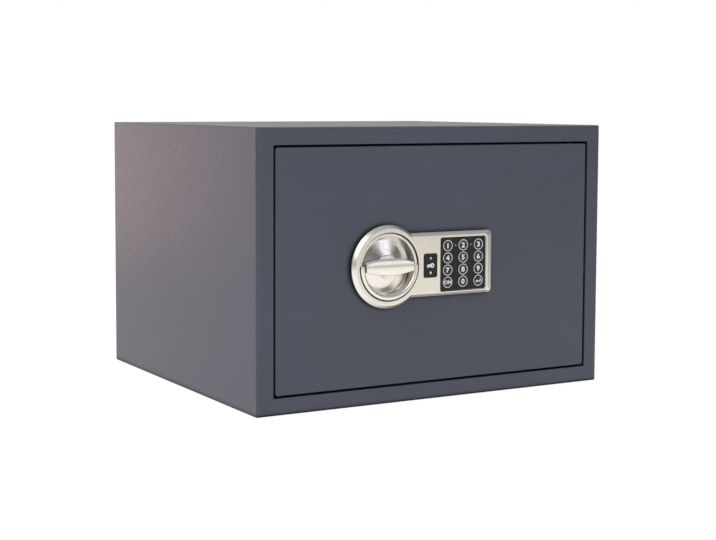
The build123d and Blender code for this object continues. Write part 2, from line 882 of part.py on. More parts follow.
def slide_studs():
    """Shoulder studs on the door plate that carry the sliding bar."""
    stud_places = [(stud_x, z) for z in bolt_heights]
    head_y = bar_y + bar_sheet + slide_clearance
    with BuildPart() as studs:
        with BuildSketch(face_at(door_back_y)):
            with Locations(*stud_places):
                Circle(stud_head_radius)
        extrude(amount=-(bar_setback - slide_clearance))
        with BuildSketch(face_at(door_back_y)):
            with Locations(*stud_places):
                Circle(stud_radius)
        extrude(amount=-(head_y - door_back_y))
        with BuildSketch(face_at(head_y)):
            with Locations(*stud_places):
                Circle(stud_head_radius)
        extrude(amount=-stud_head_height)
    write(studs, "slide_studs")


def solenoid_frame():
    """The bent steel frame of the locking solenoid, open at both sides."""
    frame_front_y = solenoid_y - solenoid_depth / 2
    with BuildPart() as frame:
        with BuildSketch(Plane.YZ.offset(plunger_x - solenoid_width / 2)):
            with Locations((solenoid_y, (solenoid_bottom_z + solenoid_top_z) / 2)):
                Rectangle(solenoid_depth, solenoid_top_z - solenoid_bottom_z)
                Rectangle(
                    solenoid_depth - 2 * solenoid_sheet,
                    solenoid_top_z - solenoid_bottom_z - 2 * solenoid_sheet,
                    mode=Mode.SUBTRACT,
                )
        extrude(amount=solenoid_width)
        with BuildSketch(Plane.XY.offset(solenoid_top_z)):
            with Locations((plunger_x, solenoid_y)):
                Circle(plunger_radius + running_fit)
        extrude(amount=-solenoid_sheet, mode=Mode.SUBTRACT)
        with BuildSketch(face_at(door_back_y)):
            with Locations((plunger_x, (solenoid_bottom_z + solenoid_top_z) / 2)):
                Rectangle(solenoid_width, solenoid_top_z - solenoid_bottom_z)
        extrude(amount=-(frame_front_y - door_back_y))
    write(frame, "solenoid_frame")


def solenoid_coil():
    with BuildPart() as coil:
        with BuildSketch(Plane.XY.offset(solenoid_bottom_z + solenoid_sheet)):
            with Locations((plunger_x, solenoid_y)):
                Circle(coil_radius)
                Circle(plunger_radius + running_fit, mode=Mode.SUBTRACT)
        extrude(amount=coil_height)
    write(coil, "solenoid_coil")


def plunger():
    top_z = tab_bottom_z - plunger_gap
    with BuildPart() as pin:
        with BuildSketch(Plane.XY.offset(top_z)):
            with Locations((plunger_x, solenoid_y)):
                Circle(plunger_radius)
        extrude(amount=-plunger_length)
        fillet(pin.edges().group_by(Axis.Z)[-1], plunger_tip_radius)
    write(pin, "plunger")


# ================================================================ key lock
def key_barrel():
    with BuildPart() as barrel:
        with BuildSketch(face_at(key_seat_y)):
            with Locations((key_lock_x, key_lock_height)):
                Circle(barrel_radius)
                Circle(plug_radius + running_fit, mode=Mode.SUBTRACT)
        extrude(amount=-barrel_length)
    write(barrel, "key_barrel")


def key_plug():
    with BuildPart() as plug:
        with BuildSketch(face_at(key_seat_y + barrel_recess)):
            with Locations((key_lock_x, key_lock_height)):
                Circle(plug_radius)
        extrude(amount=-(barrel_length - barrel_recess + plug_tail))
        with BuildSketch(face_at(key_seat_y + barrel_recess)):
            with Locations((key_lock_x, key_lock_height)):
                Rectangle(keyway_width, keyway_height)
        extrude(amount=-keyway_depth, mode=Mode.SUBTRACT)
    write(plug, "key_plug")


def key_cam():
    """The lever on the plug's tail."""
    with BuildPart() as cam:
        with BuildSketch(face_at(key_seat_y + barrel_length + plug_tail)):
            with Locations((key_lock_x, key_lock_height - key_cam_length / 2)):
                SlotCenterToCenter(key_cam_length, key_cam_width, rotation=right_angle)
        extrude(amount=-key_cam_sheet)
    write(cam, "key_cam")


def key_cover():
    """The pull-off cap over the emergency keyhole, held by two pegs."""
    cover_front_y = plate_front_y - key_cover_proud
    with BuildPart() as cover:
        with BuildSketch(face_at(cover_front_y + key_cover_sheet)):
            with Locations((key_lock_x, key_lock_height)):
                RectangleRounded(key_cover_width, key_cover_height, key_cover_corner)
        extrude(amount=key_cover_sheet)
        fillet(cover.faces().sort_by(Axis.Y)[0].edges(), key_cover_gap)
        with BuildSketch(face_at(cover_front_y + key_cover_sheet)):
            with Locations((key_lock_x, key_lock_height)):
                with GridLocations(1, key_peg_spacing, 1, 2):
                    Circle(key_peg_radius)
        extrude(amount=-key_peg_length)
    write(cover, "key_cover")


# ================================================================ keypad
def key_places():
    """Centres of the twelve keys, as (x, z), row by row from the top left."""
    rows = len(key_names) // key_columns
    return [
        (
            keypad_x + (i % key_columns - (key_columns - 1) / 2) * key_pitch_x,
            keypad_height + ((rows - 1) / 2 - i // key_columns) * key_pitch_z,
        )
        for i in range(len(key_names))
    ]


def light_places():
    """The two status lights sit between the keys of the top row."""
    top_z = key_places()[0][1]
    return [(keypad_x - key_pitch_x / 2, top_z), (keypad_x + key_pitch_x / 2, top_z)]


def keypad_panel():
    with BuildPart() as panel:
        with BuildSketch(face_at(keypad_seat_y)):
            with Locations((keypad_x, keypad_height)):
                RectangleRounded(keypad_width, keypad_tall, keypad_corner)
        extrude(amount=keypad_sheet)
        with BuildSketch(face_at(keypad_seat_y)):
            with Locations((keypad_x, keypad_height)):
                Rectangle(window_width, window_tall)
                Rectangle(window_width - 2 * keypad_wall, window_tall - 2 * keypad_wall, mode=Mode.SUBTRACT)
        extrude(amount=-keypad_wall_depth)
        with BuildSketch(face_at(keypad_seat_y)):
            with Locations(*key_places()):
                Circle(key_radius + key_gap)
            with Locations(*light_places()):
                Circle(light_radius)
        extrude(amount=keypad_sheet, mode=Mode.SUBTRACT)
    write(panel, "keypad_panel")


def status_lights():
    with BuildPart() as lights:
        with BuildSketch(face_at(keypad_seat_y)):
            with Locations(*light_places()):
                Circle(light_radius)
        extrude(amount=keypad_sheet + keypad_drop / 2)
    write(lights, "status_lights")


def keypad_board():
    """The switch board behind the keys, with a dome under each key."""
    dome_height = keypad_wall_y - key_back_y - key_travel - slide_clearance
    with BuildPart() as board:
        with BuildSketch(face_at(keypad_wall_y + keypad_board_sheet)):
            with Locations((keypad_x, keypad_height)):
                Rectangle(window_width, window_tall)
        extrude(amount=keypad_board_sheet)
        with BuildSketch(face_at(keypad_wall_y)):
            with Locations(*key_places()):
                Circle(dome_radius)
        extrude(amount=dome_height)
    write(board, "keypad_board")


def keypad_key(name, place):
    with BuildPart() as key:
        with BuildSketch(face_at(key_back_y)):
            with Locations(place):
                Circle(key_radius)
        extrude(amount=key_length)
        fillet(key.edges().group_by(Axis.Y)[0], key_gap)
    write(key, f"key_{name}")


# ================================================================ electronics
def circuit_board():
    with BuildPart() as board:
        with BuildSketch(face_at(door_back_y + board_standoff + board_sheet)):
            with Locations((board_x, middle_z)):
                Rectangle(board_width, board_height)
        extrude(amount=board_sheet)
        with BuildSketch(face_at(door_back_y + board_standoff + board_sheet)):
            with Locations((board_x, middle_z + buzzer_rise)):
                Circle(buzzer_radius)
        extrude(amount=-buzzer_height)
    write(board, "circuit_board")


def board_standoffs():
    with BuildPart() as standoffs:
        with BuildSketch(face_at(door_back_y)):
            with Locations((board_x, middle_z)):
                with GridLocations(
                    board_width - 2 * standoff_inset,
                    board_height - 2 * standoff_inset,
                    2,
                    2,
                ):
                    Circle(standoff_radius)
        extrude(amount=-board_standoff)
    write(standoffs, "board_standoffs")


def battery_holder():
    with BuildPart() as holder:
        with BuildSketch(face_at(pan_back_y)):
            with Locations((holder_x, holder_height)):
                Rectangle(holder_width, holder_tall)
        extrude(amount=holder_depth)
        with BuildSketch(face_at(pan_back_y)):
            with Locations((holder_x, holder_height)):
                Rectangle(holder_width - 2 * holder_wall, holder_tall - 2 * holder_wall)
        extrude(amount=holder_depth - holder_wall, mode=Mode.SUBTRACT)
    write(holder, "battery_holder")


def battery_cells():
    cell_y = pan_back_y - holder_depth + holder_wall + cell_radius + cell_seat_gap
    with BuildPart() as cells:
        with BuildSketch(Plane.YZ.offset(holder_x - cell_length / 2)):
            with Locations((cell_y, holder_height)):
                with GridLocations(1, cell_pitch, 1, cell_count):
                    Circle(cell_radius)
        extrude(amount=cell_length)
    write(cells, "battery_cells")


def battery_lid():
    with BuildPart() as lid:
        with BuildSketch(face_at(lid_front_y + lid_sheet)):
            with Locations((holder_x, holder_height)):
                Rectangle(lid_width, lid_tall)
        extrude(amount=lid_sheet)
        fillet(lid.faces().sort_by(Axis.Y)[-1].edges(), lid_edge_radius)
    write(lid, "battery_lid")


def lid_rails():
    """Two lipped rails and a bottom stop that hold the battery lid on the rear cover."""
    lip_y = lid_front_y + lid_sheet + slide_clearance
    rail_x = lid_width / 2 + slide_clearance
    with BuildPart() as rails:
        with BuildSketch(face_at(cover_back_y)):
            with Locations((holder_x, holder_height + lid_tall / 2)):
                Rectangle(
                    2 * (rail_x + rail_width),
                    lid_tall + slide_clearance + rail_width,
                    align=(Align.CENTER, Align.MAX),
                )
                Rectangle(
                    2 * rail_x,
                    lid_tall + slide_clearance,
                    align=(Align.CENTER, Align.MAX),
                    mode=Mode.SUBTRACT,
                )
        extrude(amount=-(lip_y - cover_back_y))
        with BuildSketch(face_at(lip_y)):
            with Locations((holder_x, holder_height)):
                Rectangle(2 * (rail_x + rail_width), lid_tall)
                Rectangle(2 * (rail_x - rail_lip), lid_tall, mode=Mode.SUBTRACT)
        extrude(amount=-cover_sheet)
    write(rails, "lid_rails")


def reset_switch():
    well_depth = reset_length - reset_proud - cover_sheet + reset_travel + slide_clearance
    with BuildPart() as switch:
        with BuildSketch(face_at(pan_back_y)):
            with Locations((reset_x, reset_height)):
                Rectangle(reset_block, reset_block)
        extrude(amount=reset_block_depth)
        with BuildSketch(face_at(pan_back_y)):
            with Locations((reset_x, reset_height)):
                Circle(reset_radius + slide_clearance)
        extrude(amount=well_depth, mode=Mode.SUBTRACT)
    write(switch, "reset_switch")


def reset_button():
    with BuildPart() as button:
        with BuildSketch(face_at(cover_back_y + reset_proud)):
            with Locations((reset_x, reset_height)):
                Circle(reset_radius)
        extrude(amount=reset_length)
        fillet(button.edges().group_by(Axis.Y)[-1], reset_edge_radius)
    write(button, "reset_button")


def build():
    body_shell()
    front_frame()
    jamb_frame()
    strike_jamb()
    door_stop()
    back_panel()
    floor_mat()
    jamb_low_z = frame_border
    jamb_high_z = body_height - frame_border
    hinge_pin("hinge_pin_bottom", jamb_low_z, 1)
    hinge_pin("hinge_pin_top", jamb_high_z, -1)
    door_plate()
    door_pan()
    door_cover()
    cover_screws()
    hinge_block("hinge_block_bottom", jamb_low_z + door_gap, 1)
    hinge_block("hinge_block_top", jamb_high_z - door_gap, -1)
    hinge_dog()
    lock_plate()
    lock_plate_studs()
    knob_dial()
    knob_grip()
    spindle()
    knob_carrier()
    spindle_bush()
    drive_cam()
    bolt_bar()
    lock_tab()
    live_bolt("bolt_lower", bolt_heights[0])
    live_bolt("bolt_upper", bolt_heights[1])
    bolt_guide()
    slide_studs()
    solenoid_frame()
    solenoid_coil()
    plunger()
    key_barrel()
    key_plug()
    key_cam()
    key_cover()
    keypad_panel()
    status_lights()
    keypad_board()
    for key_name, place in zip(key_names, key_places()):
        keypad_key(key_name, place)
    circuit_board()
    board_standoffs()
    battery_holder()
    battery_cells()
    battery_lid()
    lid_rails()
    reset_switch()
    reset_button()


os.makedirs("parts", exist_ok=True)
build()
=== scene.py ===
import math

import bmesh
import bpy
from mathutils import Matrix, Vector


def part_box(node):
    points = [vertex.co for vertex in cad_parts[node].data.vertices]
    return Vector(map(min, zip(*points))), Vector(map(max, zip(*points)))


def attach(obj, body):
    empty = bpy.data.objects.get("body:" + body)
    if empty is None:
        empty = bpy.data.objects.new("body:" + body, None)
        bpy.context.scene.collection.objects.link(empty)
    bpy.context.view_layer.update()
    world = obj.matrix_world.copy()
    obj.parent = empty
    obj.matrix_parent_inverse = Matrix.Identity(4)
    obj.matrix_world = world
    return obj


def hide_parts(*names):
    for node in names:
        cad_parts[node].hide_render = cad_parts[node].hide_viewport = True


bl_info = {
    "name": "Small Safe with Electronic Lock",
    "version": (1, 0, 0),
    "blender": (4, 5, 0),
    "location": "3D View > Sidebar > Safe",
    "description": "Dresses a small steel safe: powder coat, nickel lock plate, turning knob and keypad",
    "category": "Object",
}

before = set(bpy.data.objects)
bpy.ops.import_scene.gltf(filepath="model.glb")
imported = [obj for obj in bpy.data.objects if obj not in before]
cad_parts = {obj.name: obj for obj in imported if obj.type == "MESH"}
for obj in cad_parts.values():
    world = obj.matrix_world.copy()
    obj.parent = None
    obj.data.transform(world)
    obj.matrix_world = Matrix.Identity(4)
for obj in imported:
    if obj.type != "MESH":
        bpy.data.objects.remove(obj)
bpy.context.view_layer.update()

MM = 0.001
TURN = 2 * math.pi
ORIGIN = Vector((0, 0, 0))
FORWARDS = Vector((0, -1, 0))
# Turns what lies flat so that it faces forwards.
UPRIGHT = (math.pi / 2, 0, 0)


def middle(name):
    """The middle of a node's box."""
    low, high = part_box(name)
    return (low + high) / 2


def linear(hex_colour):
    """An sRGB hex colour as the linear red, green, blue and alpha that Blender's sockets take."""
    parts = [int(hex_colour[i : i + 2], 16) / 255 for i in (1, 3, 5)]
    return (*[c / 12.92 if c <= 0.04045 else ((c + 0.055) / 1.055) ** 2.4 for c in parts], 1.0)


# ---------------------------------------------------------------- places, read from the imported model
plate_low, plate_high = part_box("lock_plate")
cover_low, cover_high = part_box("key_cover")
panel_low, panel_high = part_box("keypad_panel")
grip_low, grip_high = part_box("knob_grip")
dial_low, dial_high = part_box("knob_dial")
barrel_low, barrel_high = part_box("key_barrel")
knob_middle = middle("knob_dial")
key_cover_middle = middle("key_cover")
panel_middle = middle("keypad_panel")
plate_front = plate_low.y
door_front = plate_high.y
dial_radius = (dial_high.x - dial_low.x) / 2
barrel_radius = (barrel_high.x - barrel_low.x) / 2

# What is printed on each key of the keypad.
KEY_FACES = {f"key_{digit}": str(digit) for digit in range(1, 10)}
KEY_FACES |= {"key_on": "ON", "key_0": "0", "key_enter": "arrow"}


# ---------------------------------------------------------------- settings that a user would change
def colour_setting(name, description, default):
    """A colour setting, from its hex colour."""
    shown = {"name": name, "description": description, "subtype": "COLOR"}
    return bpy.props.FloatVectorProperty(default=linear(default), size=4, min=0, max=1, **shown)


def length_setting(name, description, default, least, most):
    """A length setting, from its sizes in millimetres."""
    limits = {"default": default * MM, "min": least * MM, "max": most * MM}
    return bpy.props.FloatProperty(name=name, description=description, unit="LENGTH", **limits)


def power_setting(name, description, default):
    """The setting of a light's power, in watts."""
    return bpy.props.FloatProperty(name=name, description=description, default=default, min=0, unit="POWER")


class SafeFinishes(bpy.types.PropertyGroup):
    paint: colour_setting("Paint", "Colour of the powder coat on the cabinet and the door", "#3d4150")
    nickel: colour_setting("Satin nickel", "Colour of the lock plate and the grip", "#e3e0d9")
    bright_nickel: colour_setting("Bright nickel", "Colour of the turned bowl of the knob", "#dedad6")
    plastic: colour_setting("Black plastic", "Colour of the keypad, the key cover and the battery case", "#19191d")
    ink: colour_setting("Ink", "Colour of the rings and figures printed on the keys", "#e6e6ea")


class SafeLockSizes(bpy.types.PropertyGroup):
    edge: length_setting("Edge softness", "How far the worn edges of the castings are rounded", 0.6, 0.1, 1.5)
    bevel: length_setting("Bevel width", "Width of the lock plate's sloped edge, seen from the front", 3.6, 1, 6)
    end_bevel: length_setting("End bevel width", "Width of the slope at the lock plate's far end", 7.5, 1, 12)
    bevel_depth: length_setting("Bevel depth", "How far back the lock plate's slope reaches from its face", 4.0, 1, 8)
    neck: length_setting("Neck fillet", "Radius of the hollow where the plate's round end meets its bar", 6.0, 2, 12)
    corner: length_setting("Corner radius", "Radius of the lock plate's far corners", 5.0, 4.2, 9)
    knob_gap: length_setting("Gap round the knob", "Running gap between the knob and the plate", 1.1, 0.3, 2)


class SafeKeypadSizes(bpy.types.PropertyGroup):
    ring_line: length_setting("Ring line", "Line width of the rings printed round the keys", 0.7, 0.3, 2)
    ring_radius: length_setting("Ring radius", "Outer radius of the rings printed round the keys", 6.05, 3, 6.1)
    figure_height: length_setting("Figure height", "Height of the figures printed on the keys", 5.8, 2, 8)
    ink_thickness: length_setting("Ink thickness", "How far the print stands proud of the keys", 0.06, 0.02, 0.2)


class SafeStageSizes(bpy.types.PropertyGroup):
    floor_size: bpy.props.FloatProperty(
        name="Floor size",
        description="Side of the square of pale floor under the safe",
        default=40.0,
        min=2.0,
        unit="LENGTH",
    )
    lens: bpy.props.FloatProperty(
        name="Lens",
        description="Focal length of the camera, for a sensor 36 mm wide",
        default=73.77,
        min=20,
        max=200,
    )
    key_power: power_setting("Overhead light", "Power of the large soft light above the front", 28.0)
    side_power: power_setting("Side light", "Power of the soft light behind the left side", 1.8)
    front_power: power_setting("Front light", "Power of the soft light to the right of the front", 5.0)


# ---------------------------------------------------------------- nodes
NOISE, RANGE, MIX, BUMP = "ShaderNodeTexNoise", "ShaderNodeMapRange", "ShaderNodeMix", "ShaderNodeBump"
MATH, VECTOR_MATH = "ShaderNodeMath", "ShaderNodeVectorMath"
# A Mix node has several sockets of one name, so those for colours are taken by their place.
SHARE, FIRST, SECOND, MIXED = 0, 6, 7, 2
# Most values of a noise lie between these two.
LOW, HIGH = 0.3, 0.7


def add(tree, kind, inputs=(), **settings):
    """Adds one node: its settings by name, then its inputs, each filled with a value or linked to a socket.
    Returns its outputs."""
    made = tree.nodes.new(kind)
    for name, value in settings.items():
        setattr(made, name, value)
    for name, value in dict(inputs).items():
        if isinstance(value, bpy.types.NodeSocket):
            tree.links.new(value, made.inputs[name])
        else:
            made.inputs[name].default_value = value
    return made.outputs


def each(millimetres):
    """The scale at which a texture's grains come this many millimetres apart."""
    return 1 / (millimetres * MM)


def ends(to_low, to_high, low=LOW, high=HIGH):
    """The inputs of a Map Range node that takes the range of a noise to another."""
    return {"From Min": low, "From Max": high, "To Min": to_low, "To Max": to_high}


def shade(colour, factor):
    """A colour made darker or lighter."""
    return (*[min(1.0, c * factor) for c in colour[:3]], 1.0)


# ---------------------------------------------------------------- materials and what they share
def open_material(name):
    """An empty material. Returns it, its tree and the object's coordinates."""
    material = bpy.data.materials.new(name)
    material.use_nodes = True
    tree = material.node_tree
    tree.nodes.clear()
    return material, tree, add(tree, "ShaderNodeTexCoord")["Object"]


def close_material(material, sockets):
    """Ends a material with its surface shader."""
    tree = material.node_tree
    shader = add(tree, "ShaderNodeBsdfPrincipled", sockets)["BSDF"]
    add(tree, "ShaderNodeOutputMaterial", {"Surface": shader})
    return material


def clouded(tree, place, size, first, second, low=LOW, high=HIGH, **more):
    """Two colours that change into each other in clouds this many millimetres apart."""
    cloud = add(tree, NOISE, {"Vector": place, "Scale": each(size), **more})["Fac"]
    share = add(tree, RANGE, {"Value": cloud, "From Min": low, "From Max": high})["Result"]
    return add(tree, MIX, {SHARE: share, FIRST: first, SECOND: second}, data_type="RGBA")[MIXED]


def grained(tree, place, size, rise, strength, **more):
    """Grain this many millimetres apart and high. Returns its height and the normal that it gives."""
    height = add(tree, NOISE, {"Vector": place, "Scale": each(size), **more})["Fac"]
    return height, add(tree, BUMP, {"Height": height, "Distance": rise * MM, "Strength": strength})["Normal"]


# ---------------------------------------------------------------- finishes
def powder_coat(settings):
    # Polyester powder sprayed on sheet steel and baked: even slate colour, a soft sheen, and an orange peel a few
    # millimetres across with finer grain on it. The grain is drawn a little coarse so that it shows. Narrow gaps and
    # corners are painted nearly black as shade, found by ambient occlusion, and are made duller.
    material, tree, place = open_material("powder_coat_slate")
    bare_tips_and_painted_shade, darker, lighter, fleck = [shade(settings.paint, factor) for factor in (0.05, 0.93, 1.07, 1.7)]
    base = clouded(tree, place, 140, darker, lighter, Detail=3)
    speckle = add(tree, NOISE, {"Vector": place, "Scale": each(1.6), "Roughness": 0.6})["Fac"]
    flecks = add(tree, RANGE, {"Value": speckle, **ends(0, 0.55, 0.4, 0.75)})["Result"]
    coat = add(tree, MIX, {SHARE: flecks, FIRST: base, SECOND: fleck}, data_type="RGBA")[MIXED]
    # Painted shade: where ambient occlusion finds the surface closed in, as in the gap round the door and round the
    # lock plate, the coat turns nearly black and dull.
    open_sky = add(tree, "ShaderNodeAmbientOcclusion", {"Distance": 9 * MM}, samples=6)["AO"]
    unshaded_share = add(tree, RANGE, {"Value": open_sky, **ends(0.05, 1, 0.35, 0.8)})["Result"]
    tone = add(tree, MIX, {SHARE: unshaded_share, FIRST: bare_tips_and_painted_shade, SECOND: coat}, data_type="RGBA")[MIXED]
    sheen = add(tree, RANGE, {"Value": speckle, **ends(0.34, 0.5)})["Result"]
    blur = add(tree, MIX, {"Factor": unshaded_share, "A": 1, "B": sheen}, data_type="FLOAT")["Result"]
    fine = grained(tree, place, 0.8, 0.03, 0.7, Detail=1)[1]
    peel = add(tree, NOISE, {"Vector": place, "Scale": each(2.6), "Detail": 1.5})["Fac"]
    peeled = add(tree, BUMP, {"Height": peel, "Distance": 0.3 * MM, "Normal": fine})["Normal"]
    return close_material(material, {"Base Color": tone, "Roughness": blur, "Normal": peeled})


def satin_nickel(settings):
    # Zinc die casting, blasted and nickel plated: warm silver, softly blurred reflections, very fine grain.
    material, tree, place = open_material("satin_nickel")
    tone = clouded(tree, place, 18, shade(settings.nickel, 0.97), shade(settings.nickel, 1.02))
    grain, blasted = grained(tree, place, 0.5, 0.004, 0.5)
    blur = add(tree, RANGE, {"Value": grain, **ends(0.27, 0.36)})["Result"]
    return close_material(material, {"Base Color": tone, "Metallic": 1, "Roughness": blur, "Normal": blasted})


def spun_nickel(settings, centre):
    # The same casting turned on a lathe before plating: fine rings round the axis stretch each reflection into a fan.
    tool_marks = 0.35
    material, tree, place = open_material("spun_nickel")
    out = add(tree, VECTOR_MATH, {0: place, 1: centre}, operation="SUBTRACT")["Vector"]
    round_axis = add(tree, VECTOR_MATH, {0: out, 1: FORWARDS}, operation="CROSS_PRODUCT")["Vector"]
    tangent = add(tree, VECTOR_MATH, {0: round_axis}, operation="NORMALIZE")["Vector"]
    reach = add(tree, VECTOR_MATH, {0: out}, operation="LENGTH")["Value"]
    marks = add(tree, MATH, {0: reach, 1: TURN * each(tool_marks)}, operation="MULTIPLY")["Value"]
    ridge = add(tree, MATH, {0: marks}, operation="SINE")["Value"]
    uneven = add(tree, NOISE, {"Vector": place, "Scale": each(6)})["Fac"]
    blur = add(tree, RANGE, {"Value": uneven, **ends(0.16, 0.26)})["Result"]
    ringed = add(tree, BUMP, {"Height": ridge, "Distance": 0.0015 * MM, "Strength": 0.35})["Normal"]
    plain = {"Base Color": settings.bright_nickel, "Metallic": 1, "Anisotropic": 0.75}
    return close_material(material, {**plain, "Roughness": blur, "Normal": ringed, "Tangent": tangent})


def zinc_steel():
    # Mild steel, stamped or turned and zinc plated: cool silver with faint blue and yellow clouds from passivating.
    material, tree, place = open_material("zinc_plated_steel")
    tone = clouded(tree, place, 9, linear("#c3c8cf"), linear("#cdcabf"), Detail=3)
    grain, normal = grained(tree, place, 0.8, 0.006, 0.5, Detail=3, Roughness=0.7)
    blur = add(tree, RANGE, {"Value": grain, **ends(0.28, 0.46)})["Result"]
    return close_material(material, {"Base Color": tone, "Metallic": 1, "Roughness": blur, "Normal": normal})


def blackened_steel():
    # Turned mild steel, nearly black with a dull metallic sheen: painted shade for the pins in the gap round the
    # door.
    material, tree, place = open_material("blackened_steel")
    tone = clouded(tree, place, 4, linear("#131315"), linear("#1c1c1f"))
    grain, normal = grained(tree, place, 0.6, 0.004, 0.5)
    blur = add(tree, RANGE, {"Value": grain, **ends(0.42, 0.56)})["Result"]
    return close_material(material, {"Base Color": tone, "Metallic": 1, "Roughness": blur, "Normal": normal})


def turned_brass():
    # Free-cutting brass straight from the lathe: yellow, bright, with fine rings across its length.
    material, tree, place = open_material("turned_brass")
    tone = clouded(tree, place, 3, linear("#c9a75a"), linear("#d8bb73"))
    spacing = {"Vector": place, "Scale": each(2.5), "Distortion": 0.4}
    rings = add(tree, "ShaderNodeTexWave", spacing, bands_direction="Y")["Fac"]
    blur = add(tree, RANGE, {"Value": rings, **ends(0.2, 0.34, 0, 1)})["Result"]
    ringed = add(tree, BUMP, {"Height": rings, "Distance": 0.004 * MM, "Strength": 0.4})["Normal"]
    return close_material(material, {"Base Color": tone, "Metallic": 1, "Roughness": blur, "Normal": ringed})


def black_abs(name, settings, size, rise):
    # Injection-moulded ABS with a spark-eroded grain: near black and dull, with paler clouds at the grain's size as a
    # painted highlight where the grain catches the light.
    material, tree, place = open_material(name)
    tone = clouded(tree, place, size, settings.plastic, shade(settings.plastic, 2.4), 0.45, 0.8, Roughness=0.6)
    wipes = add(tree, NOISE, {"Vector": place, "Scale": each(size * 3), "Detail": 1})["Fac"]
    blur = add(tree, RANGE, {"Value": wipes, **ends(0.44, 0.58)})["Result"]
    pitted = grained(tree, place, size, rise, 0.8, Detail=1)[1]
    sockets = {"Base Color": tone, "Roughness": blur, "Specular IOR Level": 0.3, "Normal": pitted}
    return close_material(material, sockets)


def key_rubber(settings):
    # Moulded silicone keys under a clear lacquer: black, smooth, a little softer in sheen than the frame round them.
    material, tree, place = open_material("silicone_key")
    tone = clouded(tree, place, 1.6, shade(settings.plastic, 0.75), shade(settings.plastic, 1.3), 0.35)
    rippled = grained(tree, place, 0.6, 0.008, 0.6, Detail=1)[1]
    return close_material(material, {"Base Color": tone, "Roughness": 0.38, "Normal": rippled})


def screen_ink(settings):
    # Screen-printed white ink: matt and slightly uneven where the mesh laid it down.
    material, tree, place = open_material("white_screen_ink")
    tone = clouded(tree, place, 0.5, shade(settings.ink, 0.86), settings.ink)
    mesh_marks = grained(tree, place, 0.3, 0.01, 0.5, Detail=1)[1]
    return close_material(material, {"Base Color": tone, "Roughness": 0.55, "Normal": mesh_marks})


def sponge_rubber():
    # Black sponge rubber strip, stuck on as a buffer behind the door's edge: matt, with fine open pores.
    # Its black is also painted shade, which keeps the gap round the door dark.
    material, tree, place = open_material("sponge_rubber")
    tone = clouded(tree, place, 0.9, linear("#08080a"), linear("#141416"), 0.35, 0.65, Detail=1)
    pores = grained(tree, place, 0.9, 0.1, 1, Detail=1)[1]
    sockets = {"Base Color": tone, "Roughness": 0.9, "Specular IOR Level": 0.15, "Normal": pores}
    return close_material(material, sockets)


def needle_felt():
    # Needle-punched polyester felt: dark grey and matt, with fibres of several greys matted into tufts. They are
    # drawn about two millimetres apart, coarser than the fibres, so that they show.
    material, tree, place = open_material("needle_felt")
    tufts = {"Detail": 5, "Roughness": 0.75, "Distortion": 1.2}
    tone = clouded(tree, place, 2.4, linear("#303237"), linear("#5c5f65"), 0.35, 0.65, **tufts)
    pile = grained(tree, place, 0.9, 0.5, 0.8, Detail=4, Roughness=0.8, Distortion=0.8)[1]
    fuzz = {"Sheen Weight": 0.25, "Sheen Roughness": 0.6, "Sheen Tint": linear("#8d9096")}
    return close_material(material, {"Base Color": tone, "Roughness": 0.95, "Normal": pile, **fuzz})


def circuit_laminate():
    # Glass-epoxy board under green solder mask: glossy, with copper tracks showing as paler green lines and squares.
    material, tree, place = open_material("circuit_laminate")
    stood = add(tree, "ShaderNodeMapping", {"Vector": place, "Rotation": UPRIGHT})["Vector"]
    layout = {"Vector": stood, "Scale": each(20), "Mortar Size": 0.02, "Mortar Smooth": 0.1}
    tracks = add(tree, "ShaderNodeTexBrick", layout)["Fac"]
    cloth = add(tree, NOISE, {"Vector": place, "Scale": each(0.9), "Detail": 1})["Fac"]
    weave = add(tree, RANGE, {"Value": cloth, **ends(0, 0.3, 0.4, 0.6)})["Result"]
    dark, light, track = linear("#0f5a38"), linear("#1a7048"), linear("#3d9a63")
    mask = add(tree, MIX, {SHARE: weave, FIRST: dark, SECOND: light}, data_type="RGBA")[MIXED]
    tone = add(tree, MIX, {SHARE: tracks, FIRST: mask, SECOND: track}, data_type="RGBA")[MIXED]
    raised_tracks = add(tree, BUMP, {"Height": tracks, "Distance": 0.04 * MM, "Strength": 0.6})["Normal"]
    return close_material(material, {"Base Color": tone, "Roughness": 0.28, "Normal": raised_tracks})


def copper_wire():
    # Enamelled copper winding wire: red-brown metal under clear varnish.
    material, tree, place = open_material("enamelled_copper")
    tone = clouded(tree, place, 2, linear("#a4552c"), linear("#c4713f"))
    drips = grained(tree, place, 0.4, 0.01, 0.4, Detail=1)[1]
    varnish = {"Coat Weight": 0.4, "Coat Roughness": 0.1}
    sockets = {"Base Color": tone, "Metallic": 1, "Roughness": 0.3, "Normal": drips, **varnish}
    return close_material(material, sockets)


def cell_sleeve(low, high):
    # Shrunk plastic sleeve on a steel can: satin grey with a darker band at one end and bare steel at the tips.
    band_width, tip_width = 12 * MM, 1 * MM
    material, tree, place = open_material("cell_sleeve")
    along = add(tree, "ShaderNodeSeparateXYZ", {"Vector": place})["X"]
    band = add(tree, MATH, {0: along, 1: high - band_width}, operation="GREATER_THAN")["Value"]
    tip = add(tree, MATH, {0: along, 1: high - tip_width}, operation="GREATER_THAN")["Value"]
    foot = add(tree, MATH, {0: along, 1: low + tip_width}, operation="LESS_THAN")["Value"]
    bare_tips_and_painted_shade = add(tree, MATH, {0: tip, 1: foot}, operation="MAXIMUM")["Value"]
    pale, dark, steel = linear("#85888e"), linear("#3f5568"), linear("#c8c9cb")
    sleeve = add(tree, MIX, {SHARE: band, FIRST: pale, SECOND: dark}, data_type="RGBA")[MIXED]
    tone = add(tree, MIX, {SHARE: bare_tips_and_painted_shade, FIRST: sleeve, SECOND: steel}, data_type="RGBA")[MIXED]
    scuffs, scuffed = grained(tree, place, 3, 0.01, 0.3, Detail=4, Roughness=0.7)
    blur = add(tree, RANGE, {"Value": scuffs, **ends(0.22, 0.4)})["Result"]
    return close_material(material, {"Base Color": tone, "Metallic": bare_tips_and_painted_shade, "Roughness": blur, "Normal": scuffed})


